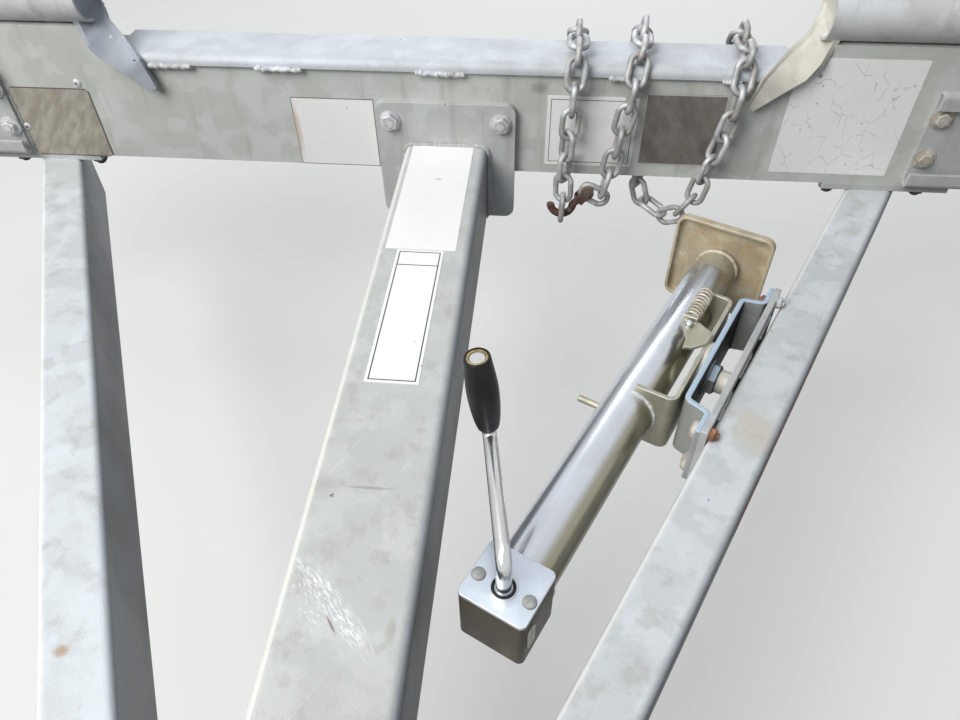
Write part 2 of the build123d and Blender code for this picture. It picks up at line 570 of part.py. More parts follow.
def chain(route, outward, rows):
    """Links along a route: rows of roll about the chain, reach back and reach ahead."""
    points = points_along(route, [back + ahead for roll, back, ahead in rows])
    before = (points[1] - points[0]).normalized()
    links = []
    for start, end, (roll, back, ahead) in zip(points, points[1:], rows):
        along = (end - start).normalized()
        outward = outward - (before + along) * (outward.dot(along) / (1 + before.dot(along)))
        place = Plane(origin=start + along * back, x_dir=along, z_dir=outward)
        links.append(place.location * Rot(roll, 0, 0) * link)
        before = along
    return links


# Every chain goes up the face, over the beam and hangs down behind it
chain_gap = LINK_WIDTH / 2 + CHAIN_CLEAR
hang = cap_y - chain_gap
drape = CAP_TOP + chain_gap
behind = chain_gap + HANG_BACK


def over_beam(front_x, rear_x):
    """End of a route: the corner above the face, the one behind the beam and the way down."""
    return [(front_x, hang, drape), (rear_x, behind, drape), (rear_x, behind, BOTTOM)]


over_rows = [(0, PAST_END, PAST_END), (90, OWN_END, OWN_END)] * 3

# Hook between the two strands of the front chain, its bowl to the trailer's right
bowl_x, bowl_z = 147.0, -100.0
head_x, head_z = 178.0, -79.0
bowl_radius = HOOK_INSIDE + HOOK_PLATE / 2
face_on = Plane(origin=(0, hang, 0), x_dir=(1, 0, 0), z_dir=(0, -1, 0))
bar = RegularPolygon(HOOK_PLATE / 2, 8)
knee_x = bowl_x + bowl_radius
neck_run = head_x - knee_x
neck_rise = head_z - bowl_z
neck_turn = degrees(atan(neck_rise / neck_run))
neck_start = Plane(origin=(knee_x, hang, bowl_z), z_dir=(neck_run, 0, neck_rise))
hook = Pos(bowl_x, hang, bowl_z) * revolve(Pos(bowl_radius, 0) * bar, Axis.Y, revolution_arc=180)
hook += extrude(neck_start * bar, sqrt(neck_run ** 2 + neck_rise ** 2))
hook += Pos(knee_x, hang, bowl_z) * Sphere(HOOK_PLATE / 2)
fork_half = CHAIN_WIRE / 2 + FORK_CHEEK
fork_radius = HOOK_PIN + FORK_RIM
fork_back = LINK_WIDTH / 2 + FORK_ROOM
at_head = face_on * Pos(head_x, head_z) * Rot(0, 0, neck_turn)
fork = Circle(fork_radius) + Pos(-fork_back / 2 - 1, 0) * Rectangle(fork_back + 2, HOOK_PLATE + 2)
hook += extrude(at_head * fork, fork_half, both=True)
hook -= extrude(at_head * Circle(fork_back), CHAIN_WIRE / 2 + SEAT, both=True)
hook += extrude(at_head * Circle(HOOK_PIN), fork_half + 2, both=True)
parts["chain_hook"] = hook

# Front chain: one strand from the bowl, one from the pin in the hook's head
last_turn = radians(-20)
pin_reach = HOOK_PIN + SEAT / 2
front_route = [(bowl_x, hang, bowl_z - bowl_radius - HOOK_PLATE / 2 - SEAT / 2), (148, hang, -90),
               (146.5, hang, -46), (150, hang, 10)] + over_beam(153, 154)
front_rows = [(90 + 72 * step, MIDWAY, MIDWAY) for step in range(5)] + [(90, MIDWAY, OWN_END)] + over_rows
rear_route = [(head_x - pin_reach * cos(last_turn), hang, head_z - pin_reach * sin(last_turn)),
              (195, hang, -88.5), (202, hang, -53), (212, hang, 14)] + over_beam(222, 232)
rear_rows = [(0, MIDWAY, OWN_END), (90, PAST_END, MIDWAY), (0, MIDWAY, MIDWAY), (90, MIDWAY, MIDWAY),
             (0, MIDWAY, MIDWAY), (90, MIDWAY, OWN_END)] + over_rows
to_front = Vector(0, -1, 0)
links = chain(front_route, to_front, front_rows) + chain(rear_route, to_front, rear_rows)
parts["safety_chain_front"] = Compound(children=links)

# Side chain, from an eye under the beam in a curve to the front and up over its top
eye_x, eye_y = 244.0, -42.0
foot_x = 311.0
eye_hole = CHAIN_WIRE / 2 + EYE_ROOM
eye_half = eye_hole + EYE_WEB
eye_mid = -eye_half - eye_hole
sweep_run = sqrt((foot_x - eye_x) ** 2 + (hang - eye_y) ** 2)
sweep_turn = degrees(atan((hang - eye_y) / (foot_x - eye_x)))
eye = slab(-EYE_PLATE / 2, EYE_PLATE / 2, -eye_half, eye_half, eye_mid - eye_half, 0)
eye = chamfer(eye.edges().filter_by(Axis.X).sort_by(Axis.Z)[:2], EYE_WEB)
eye -= Pos(0, 0, eye_mid) * Rot(0, 90, 0) * Cylinder(eye_hole, 3 * EYE_PLATE)
parts["chain_eye"] = Pos(eye_x, eye_y, BOTTOM) * Rot(0, 0, sweep_turn) * eye


def swept(share, z):
    """A point of the curve between the eye and the beam's face, by its share of the way."""
    return (eye_x + share * (foot_x - eye_x), eye_y + share * (hang - eye_y), z)


eye_joint = BOTTOM + eye_mid - eye_hole + 3 * SEAT
side_route = [swept(0, eye_joint), swept(0.1, eye_joint - 21.2), swept(0.555, -125), swept(0.74, -118),
              (foot_x, hang, -80), (320, hang, -36), (332, hang, 14)] + over_beam(339, 346)
side_rows = [(0, MIDWAY, OWN_END), (90, PAST_END, PAST_END), (0, OWN_END, OWN_END), (90, PAST_END, PAST_END),
             (0, OWN_END, MIDWAY)]
untwist = (270 - sweep_turn) / 4
side_rows += [(untwist * step, MIDWAY, MIDWAY) for step in (1, 2, 3)] + [(untwist * 4, MIDWAY, OWN_END)]
side_rows += [(roll - sweep_turn, back, ahead) for roll, back, ahead in over_rows]
sideways = Vector(0, -1, 0).rotate(Axis.Z, sweep_turn)
parts["safety_chain_side"] = Compound(children=chain(side_route, sideways, side_rows))

os.makedirs("parts", exist_ok=True)
for name, shape in parts.items():
    export_step(shape, f"parts/{name}.step")
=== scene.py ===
import bpy
import bmesh
import json
import math
import numpy
from mathutils import Matrix, Vector


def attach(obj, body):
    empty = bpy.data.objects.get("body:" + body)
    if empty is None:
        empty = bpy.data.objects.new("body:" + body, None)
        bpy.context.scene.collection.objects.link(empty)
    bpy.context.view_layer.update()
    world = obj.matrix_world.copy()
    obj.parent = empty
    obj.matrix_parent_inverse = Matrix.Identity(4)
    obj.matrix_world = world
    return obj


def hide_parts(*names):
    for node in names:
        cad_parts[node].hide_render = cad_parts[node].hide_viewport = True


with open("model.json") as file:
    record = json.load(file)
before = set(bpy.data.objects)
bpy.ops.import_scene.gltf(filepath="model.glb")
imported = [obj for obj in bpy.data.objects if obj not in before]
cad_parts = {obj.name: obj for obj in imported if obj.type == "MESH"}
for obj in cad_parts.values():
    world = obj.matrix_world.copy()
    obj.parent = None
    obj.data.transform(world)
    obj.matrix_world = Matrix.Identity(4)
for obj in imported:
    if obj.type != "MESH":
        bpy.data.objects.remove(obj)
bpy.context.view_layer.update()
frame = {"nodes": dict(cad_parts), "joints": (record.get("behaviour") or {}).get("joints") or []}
nodes = frame["nodes"]
print("frame loaded:", len(nodes), "nodes")


# Camera: stands over the drawbar and looks down at the front of the beam
cameraLook = {
    "place": (0.1233, -0.9032, 0.4321),
    "turn": 5.92811,      # degrees to the left
    "down": 45.18384,     # degrees below level
    "roll": 0.94055,
    "focalPixels": 738.84,
    "imageWidth": 960,
}


def makeCamera(look):
    data = bpy.data.cameras.new("viewCamera")
    data.sensor_width = 36.0
    data.lens = data.sensor_width * look["focalPixels"] / look["imageWidth"]
    data.clip_start = 0.01
    camera = bpy.data.objects.new("viewCamera", data)
    bpy.context.scene.collection.objects.link(camera)
    turned = (Matrix.Rotation(math.radians(look["turn"]), 4, "Z")
              @ Matrix.Rotation(-math.radians(look["down"]), 4, "X")
              @ Matrix.Rotation(math.radians(look["roll"]), 4, "Y")
              @ Matrix.Rotation(math.radians(90), 4, "X"))
    camera.matrix_world = Matrix.Translation(look["place"]) @ turned
    bpy.context.scene.camera = camera


makeCamera(cameraLook)
bpy.context.scene.view_settings.view_transform = "Standard"


# Frames that the pieces are placed in
swivel = next(joint for joint in frame["joints"] if joint["name"] == "jack_swivel")
jackAcross = -Vector(swivel["axis"])
jackAlong = Vector((0, 0, 1)).cross(jackAcross)
jackTurn = Matrix((jackAcross, jackAlong, (0, 0, 1))).transposed().to_4x4()
jackPlace = Matrix.Translation(swivel["pos_m"]) @ jackTurn
beamFace = -0.068
tongueLook = {"top": -0.029, "half": 0.0508, "fall": 0.05, "length": 1.15}
tonguePlace = (Matrix.Translation((0, beamFace, tongueLook["top"] - tongueLook["half"]))
               @ Matrix.Rotation(math.atan(tongueLook["fall"]), 4, "X"))
couplerPlace = tonguePlace @ Matrix.Translation((0, -tongueLook["length"], 0))
front = (0, -1, 0)


# Small helpers for node trees
vectorInput = ("Vector", "Vector", None)
centreInput = ("Centre", "Vector", (0.0, 0.0, 0.0))
spreadInput = ("Spread", "Vector", (0.02, 0.02, 0.02))
finishInput = ("Finish", "Material", None)
maskOutput = [("Mask", "Float")]


def addNode(tree, kind, **settings):
    node = tree.nodes.new(kind)
    for name, value in settings.items():
        setattr(node, name, value)
    return node


def feed(tree, socket, value):
    if isinstance(value, bpy.types.NodeSocket):
        tree.links.new(value, socket)
    elif value is not None:
        socket.default_value = value


def mathNode(tree, operation, first, second=None, clamp=False):
    node = addNode(tree, "ShaderNodeMath", operation=operation, use_clamp=clamp)
    feed(tree, node.inputs[0], first)
    feed(tree, node.inputs[1], second)
    return node.outputs[0]


def vectorNode(tree, operation, first, second=None):
    node = addNode(tree, "ShaderNodeVectorMath", operation=operation)
    feed(tree, node.inputs[0], first)
    feed(tree, node.inputs[3 if operation == "SCALE" else 1], second)
    return node.outputs[1 if operation in ("DOT_PRODUCT", "LENGTH") else 0]


def rangeNode(tree, value, low, high, toLow=0.0, toHigh=1.0):
    node = addNode(tree, "ShaderNodeMapRange", interpolation_type="SMOOTHSTEP")
    for socket, given in zip(node.inputs, (value, low, high, toLow, toHigh)):
        feed(tree, socket, given)
    return node.outputs[0]


def mixColour(tree, factor, first, second):
    node = addNode(tree, "ShaderNodeMix", data_type="RGBA")
    feed(tree, node.inputs[0], factor)
    feed(tree, node.inputs[6], first if isinstance(first, bpy.types.NodeSocket) else (*first, 1.0))
    feed(tree, node.inputs[7], second if isinstance(second, bpy.types.NodeSocket) else (*second, 1.0))
    return node.outputs[2]


def tintBy(tree, mask, depth, colour, shade):
    return mixColour(tree, mathNode(tree, "MULTIPLY", mask, depth), colour, shade)


def noiseNode(tree, vector, scale, detail=3.0, roughness=0.55):
    node = addNode(tree, "ShaderNodeTexNoise")
    feed(tree, node.inputs["Vector"], vector)
    feed(tree, node.inputs["Scale"], scale)
    feed(tree, node.inputs["Detail"], detail)
    feed(tree, node.inputs["Roughness"], roughness)
    return node.outputs[0]


def noiseVector(tree, vector, scale):
    node = addNode(tree, "ShaderNodeTexNoise")
    feed(tree, node.inputs["Vector"], vector)
    feed(tree, node.inputs["Scale"], scale)
    return node.outputs["Color"]


def sizedVector(tree, given, label):
    return vectorNode(tree, "SCALE", given["Vector"], mathNode(tree, "DIVIDE", 1.0, given[label]))


def turnedVector(tree, vector, angle, axis="Z_AXIS"):
    turned = addNode(tree, "ShaderNodeVectorRotate", rotation_type=axis)
    feed(tree, turned.inputs["Vector"], vector)
    feed(tree, turned.inputs["Angle"], angle)
    return turned.outputs[0]


def rimMask(tree, value, middle, half, rising=True):
    rims = [mathNode(tree, kind, middle, half) for kind in ("SUBTRACT", "ADD")]
    return rangeNode(tree, value, *(rims if rising else rims[::-1]))


def newGroup(name, inputs, outputs, kind="ShaderNodeTree"):
    tree = bpy.data.node_groups.new(name, kind)
    for label, sort, value in inputs:
        socket = tree.interface.new_socket(label, in_out="INPUT", socket_type="NodeSocket" + sort)
        if value is not None:
            socket.default_value = value
    for label, sort in outputs:
        tree.interface.new_socket(label, in_out="OUTPUT", socket_type="NodeSocket" + sort)
    return tree, tree.nodes.new("NodeGroupInput").outputs, tree.nodes.new("NodeGroupOutput").inputs


def useGroup(tree, name, **values):
    node = addNode(tree, "ShaderNodeGroup")
    node.node_tree = bpy.data.node_groups[name]
    for label, value in values.items():
        feed(tree, node.inputs[label], value)
    return node.outputs


# Zinc spangle: soft cells of different shade, and a fine grain
def makeSpangleGroup():
    tree, given, result = newGroup(
        "zincSpangle",
        [vectorInput, ("Size", "Float", 0.02), ("Softness", "Float", 0.6)],
        [("Shade", "Float"), ("Grain", "Float")])
    scaled = sizedVector(tree, given, "Size")
    pushed = vectorNode(tree, "ADD", scaled, noiseVector(tree, scaled, 1.7))
    cells = addNode(tree, "ShaderNodeTexVoronoi", feature="SMOOTH_F1")
    feed(tree, cells.inputs["Vector"], pushed)
    feed(tree, cells.inputs["Scale"], 1.0)
    feed(tree, cells.inputs["Smoothness"], given["Softness"])
    split = addNode(tree, "ShaderNodeSeparateColor")
    feed(tree, split.inputs[0], cells.outputs["Color"])
    feed(tree, result["Shade"], rangeNode(tree, split.outputs[0], 0.2, 0.8))
    feed(tree, result["Grain"], noiseNode(tree, scaled, 14.0, 4.0, 0.7))


# Grime: patches whose cover and edge are set; stretched, it makes runs and brush marks
def makeGrimeGroup():
    tree, given, result = newGroup(
        "grimePatches",
        [vectorInput, ("Stretch", "Vector", (1.0, 1.0, 1.0)), ("Size", "Float", 0.1),
         ("Cover", "Float", 0.4), ("Edge", "Float", 0.1), ("Detail", "Float", 5.0)], maskOutput)
    scaled = sizedVector(tree, given, "Size")
    stretched = vectorNode(tree, "MULTIPLY", scaled, given["Stretch"])
    patches = noiseNode(tree, stretched, 1.0, given["Detail"], 0.62)
    start = mathNode(tree, "SUBTRACT", 0.75, mathNode(tree, "MULTIPLY", given["Cover"], 0.5))
    feed(tree, result["Mask"], rimMask(tree, patches, start, given["Edge"]))


# Specks: small round spots scattered at random, some cells empty
def makeSpeckGroup():
    tree, given, result = newGroup(
        "scatteredSpecks",
        [vectorInput, ("Spacing", "Float", 0.02), ("Radius", "Float", 0.12), ("Share", "Float", 0.3)],
        maskOutput)
    scaled = sizedVector(tree, given, "Spacing")
    ruffle = vectorNode(tree, "SCALE", noiseVector(tree, scaled, 6.0), 0.12)
    ragged = vectorNode(tree, "ADD", scaled, ruffle)
    cells = addNode(tree, "ShaderNodeTexVoronoi")
    feed(tree, cells.inputs["Vector"], ragged)
    feed(tree, cells.inputs["Scale"], 1.0)
    split = addNode(tree, "ShaderNodeSeparateColor")
    feed(tree, split.inputs[0], cells.outputs["Color"])
    chosen = mathNode(tree, "LESS_THAN", split.outputs[0], given["Share"])
    reach = mathNode(tree, "MULTIPLY", given["Radius"], mathNode(tree, "ADD", split.outputs[1], 0.3))
    spot = rangeNode(tree, cells.outputs["Distance"], reach, mathNode(tree, "MULTIPLY", reach, 0.6))
    feed(tree, result["Mask"], mathNode(tree, "MULTIPLY", spot, chosen))


# Scratches: long thin lines in one direction across the top of a piece, broken up by patches
def makeScratchGroup():
    tree, given, result = newGroup(
        "fineScratches",
        [vectorInput, ("Angle", "Float", 0.0), ("Length", "Float", 0.12),
         ("Width", "Float", 0.0012), ("Amount", "Float", 0.3)], maskOutput)
    turned = turnedVector(tree, given["Vector"], given["Angle"])
    across = addNode(tree, "ShaderNodeCombineXYZ")
    for socket, label in zip(across.inputs, ("Width", "Length", "Length")):
        feed(tree, socket, mathNode(tree, "DIVIDE", 1.0, given[label]))
    lines = noiseNode(tree, vectorNode(tree, "MULTIPLY", turned, across.outputs[0]), 0.35, 2.0, 0.5)
    thin = rangeNode(tree, lines, 0.66, 0.74)
    broken = noiseNode(tree, vectorNode(tree, "SCALE", given["Vector"], 9.0), 1.0, 3.0)
    lowest = mathNode(tree, "SUBTRACT", 0.7, mathNode(tree, "MULTIPLY", given["Amount"], 0.5))
    kept = rangeNode(tree, broken, lowest, 0.75)
    feed(tree, result["Mask"], mathNode(tree, "MULTIPLY", thin, kept))


# Edge mask, for wear and for a painted highlight on rounded edges: how sharply the rounded normal leaves the
# flat one
def makeEdgeGroup():
    tree, given, result = newGroup("edgeWear", [("Radius", "Float", 0.002)],
                                   [("Edge", "Float"), ("Normal", "Vector")])
    rounded = addNode(tree, "ShaderNodeBevel", samples=4)
    feed(tree, rounded.inputs["Radius"], given["Radius"])
    flat = addNode(tree, "ShaderNodeNewGeometry")
    facing = vectorNode(tree, "DOT_PRODUCT", rounded.outputs[0], flat.outputs["Normal"])
    feed(tree, result["Edge"], rangeNode(tree, facing, 0.995, 0.85))
    feed(tree, result["Normal"], rounded.outputs[0])


# Mark: one stain, chip or bright patch at a chosen place, its outline ragged
def makeMarkGroup():
    tree, given, result = newGroup("singleMark",
                                   [vectorInput, centreInput, spreadInput, ("Ragged", "Float", 0.9),
                                    ("Edge", "Float", 0.35)], maskOutput)
    away = vectorNode(tree, "SUBTRACT", given["Vector"], given["Centre"])
    offset = vectorNode(tree, "DIVIDE", away, given["Spread"])
    rough = mathNode(tree, "MULTIPLY", noiseNode(tree, offset, 2.2, 5.0, 0.7), given["Ragged"])
    reach = mathNode(tree, "ADD", vectorNode(tree, "LENGTH", offset), rough)
    feed(tree, result["Mask"], rimMask(tree, reach, 1.0, given["Edge"], rising=False))


# Scuff: broken streaks inside a ragged patch that lies at an angle on a level surface
def makeScuffGroup():
    tree, given, result = newGroup("brokenScuff",
                                   [vectorInput, centreInput, spreadInput, ("Turn", "Float", 0.0),
                                    ("Broken", "Float", 0.5)], maskOutput)
    turned = turnedVector(tree, vectorNode(tree, "SUBTRACT", given["Vector"], given["Centre"]),
                          given["Turn"])
    offset = vectorNode(tree, "DIVIDE", turned, given["Spread"])
    ragged = mathNode(tree, "MULTIPLY", noiseNode(tree, offset, 1.8, 3.0, 0.6), 0.9)
    reach = mathNode(tree, "ADD", vectorNode(tree, "LENGTH", offset), ragged)
    inside = rangeNode(tree, reach, 1.5, 0.9)
    streaks = noiseNode(tree, offset, 6.0, 6.0, 0.72)
    shown = rangeNode(tree, streaks, given["Broken"], mathNode(tree, "ADD", given["Broken"], 0.09))
    feed(tree, result["Mask"], mathNode(tree, "MULTIPLY", inside, shown))


# Facing: where the surface looks in a chosen direction of the piece's own frame; the finishes use it to paint
# shade and highlights
def makeFacingGroup():
    tree, given, result = newGroup("facingSide",
                                   [("Direction", "Vector", (0.0, 0.0, -1.0)), ("Low", "Float", 0.0),
                                    ("High", "Float", 0.5)], maskOutput)
    turned = addNode(tree, "ShaderNodeVectorTransform", vector_type="NORMAL", convert_from="WORLD",
                     convert_to="OBJECT")
    feed(tree, turned.inputs[0], addNode(tree, "ShaderNodeNewGeometry").outputs["Normal"])
    towards = vectorNode(tree, "DOT_PRODUCT", turned.outputs[0], given["Direction"])
    feed(tree, result["Mask"], rangeNode(tree, towards, given["Low"], given["High"]))


# Inset: a point's distance from the nearest edge of its flat sheet, and its height from the middle
def makePanelGroup():
    tree, given, result = newGroup(
        "panelInset",
        [vectorInput, centreInput, ("Across", "Vector", (1.0, 0.0, 0.0)), ("Up", "Vector", (0.0, 0.0, 1.0)),
         ("Half Width", "Float", 0.05), ("Half Height", "Float", 0.05)],
        [("Inset", "Float"), ("Height", "Float")])
    offset = vectorNode(tree, "SUBTRACT", given["Vector"], given["Centre"])
    side = vectorNode(tree, "DOT_PRODUCT", offset, given["Across"])
    height = vectorNode(tree, "DOT_PRODUCT", offset, given["Up"])
    fromSide = mathNode(tree, "SUBTRACT", given["Half Width"], mathNode(tree, "ABSOLUTE", side))
    fromEnd = mathNode(tree, "SUBTRACT", given["Half Height"], mathNode(tree, "ABSOLUTE", height))
    feed(tree, result["Inset"], mathNode(tree, "MINIMUM", fromSide, fromEnd))
    feed(tree, result["Height"], height)


for makeOne in (makeSpangleGroup, makeGrimeGroup, makeSpeckGroup, makeScratchGroup, makeEdgeGroup,
                makeMarkGroup, makeScuffGroup, makeFacingGroup, makePanelGroup):
    makeOne()
print("shader groups:", len(bpy.data.node_groups))


def newMaterial(name):
    material = bpy.data.materials.new(name)
    material.use_nodes = True
    tree = material.node_tree
    place = addNode(tree, "ShaderNodeTexCoord").outputs["Object"]
    return material, tree, tree.nodes["Principled BSDF"], place


def addBump(tree, shader, height, distance, strength=1.0, normal=None):
    bump = addNode(tree, "ShaderNodeBump")
    bump.inputs["Distance"].default_value = distance
    bump.inputs["Strength"].default_value = strength
    feed(tree, bump.inputs["Height"], height)
    feed(tree, bump.inputs["Normal"], normal)
    feed(tree, shader.inputs["Normal"], bump.outputs[0])


# Zinc-coated steel. Each finish starts from these values and changes a few.
# A mark is centre, spread, shade, depth; a scuff has its turn and how broken it is before the shade;
# a side is direction, low and high end of the facing, shade, depth, and paints shade or a highlight on the
# faces that look that way
zincBasis = {
    "light": (0.66, 0.68, 0.70), "dark": (0.52, 0.54, 0.56), "metal": 0.05, "specular": 0.25,
    "rough": (0.46, 0.62),
    "spangle": 0.022, "softness": 0.7,
    "stain": (0.40, 0.39, 0.35), "stainSize": 0.16, "stainCover": 0.45, "stainEdge": 0.16,
    "stainDepth": 0.35,
    "run": (0.34, 0.32, 0.28), "runStretch": (1.0, 1.0, 0.1), "runSize": 0.02, "runCover": 0.3,
    "runEdge": 0.08, "runDepth": 0.3,
    "scratch": (0.85, 0.87, 0.88), "scratchAngle": 0.5, "scratchAmount": 0.3, "scratchDepth": 0.35,
    "speck": (0.16, 0.10, 0.06), "speckSpacing": 0.03, "speckRadius": 0.07, "speckShare": 0.12,
    "speckDepth": 0.7,
    # Edge colour: partly wear and partly a painted highlight
    "edge": (0.86, 0.88, 0.90), "edgeRadius": 0.0012, "edgeDepth": 0.4,
    "bump": 0.0012, "bumpStrength": 0.35, "marks": [], "scuffs": [], "sides": [],
}
# Painted light on the tubes: painted shade on the side that faces +X, away from the key light, a painted
# highlight on the upper left rounded edge and a bluer painted sky reflection on the upper right one
paintedSideShadeAndEdgeHighlights = [((1.0, 0.0, 0.0), 0.5, 0.92, (0.15, 0.16, 0.17), 0.72),
             ((-0.707, 0.0, 0.707), 0.86, 0.96, (0.92, 0.90, 0.85), 0.65),
             ((0.707, 0.0, 0.707), 0.86, 0.96, (0.48, 0.52, 0.58), 0.5)]


def finishMaterial(name, basis, changes):
    look = {**basis, **changes}
    material, tree, shader, place = newMaterial(name)
    spangle = useGroup(tree, "zincSpangle", Vector=place, Size=look["spangle"], Softness=look["softness"])
    colour = mixColour(tree, spangle["Shade"], look["dark"], look["light"])
    stain = useGroup(tree, "grimePatches", Vector=place, Size=look["stainSize"],
                     Cover=look["stainCover"], Edge=look["stainEdge"])
    colour = tintBy(tree, stain["Mask"], look["stainDepth"], colour, look["stain"])
    run = useGroup(tree, "grimePatches", Vector=place, Stretch=look["runStretch"], Size=look["runSize"],
                   Cover=look["runCover"], Edge=look["runEdge"])
    colour = tintBy(tree, run["Mask"], look["runDepth"], colour, look["run"])
    scratch = useGroup(tree, "fineScratches", Vector=place, Angle=look["scratchAngle"],
                       Amount=look["scratchAmount"])
    colour = tintBy(tree, scratch["Mask"], look["scratchDepth"], colour, look["scratch"])
    speck = useGroup(tree, "scatteredSpecks", Vector=place, Spacing=look["speckSpacing"],
                     Radius=look["speckRadius"], Share=look["speckShare"])
    colour = tintBy(tree, speck["Mask"], look["speckDepth"], colour, look["speck"])
    for centre, spread, shade, depth in look["marks"]:
        mark = useGroup(tree, "singleMark", Vector=place, Centre=centre, Spread=spread)
        colour = tintBy(tree, mark["Mask"], depth, colour, shade)
    for centre, spread, turn, broken, shade, depth in look["scuffs"]:
        scuff = useGroup(tree, "brokenScuff", Vector=place, Centre=centre, Spread=spread, Turn=turn,
                         Broken=broken)
        colour = tintBy(tree, scuff["Mask"], depth, colour, shade)
    # Painted shade and painted highlights, laid on by which way each face looks
    for direction, low, high, shade, depth in look["sides"]:
        facing = useGroup(tree, "facingSide", Direction=direction, Low=low, High=high)
        colour = tintBy(tree, facing["Mask"], depth, colour, shade)
    # Edges: a lighter colour that is partly wear and partly a painted highlight
    wornAndLitEdge = None
    if look["edgeRadius"]:
        wornAndLitEdge = useGroup(tree, "edgeWear", Radius=look["edgeRadius"])
        colour = tintBy(tree, wornAndLitEdge["Edge"], look["edgeDepth"], colour, look["edge"])
    feed(tree, shader.inputs["Base Color"], colour)
    grainAndStain = mathNode(tree, "ADD", spangle["Grain"], stain["Mask"])
    feed(tree, shader.inputs["Roughness"], rangeNode(tree, grainAndStain, 0.3, 1.4, *look["rough"]))
    shader.inputs["Metallic"].default_value = look["metal"]
    shader.inputs["Specular IOR Level"].default_value = look["specular"]
    raised = mathNode(tree, "SUBTRACT", spangle["Grain"], mathNode(tree, "MULTIPLY", scratch["Mask"], 0.5))
    addBump(tree, shader, mathNode(tree, "ADD", raised, speck["Mask"]), look["bump"], look["bumpStrength"],
            wornAndLitEdge and wornAndLitEdge["Normal"])
    return material


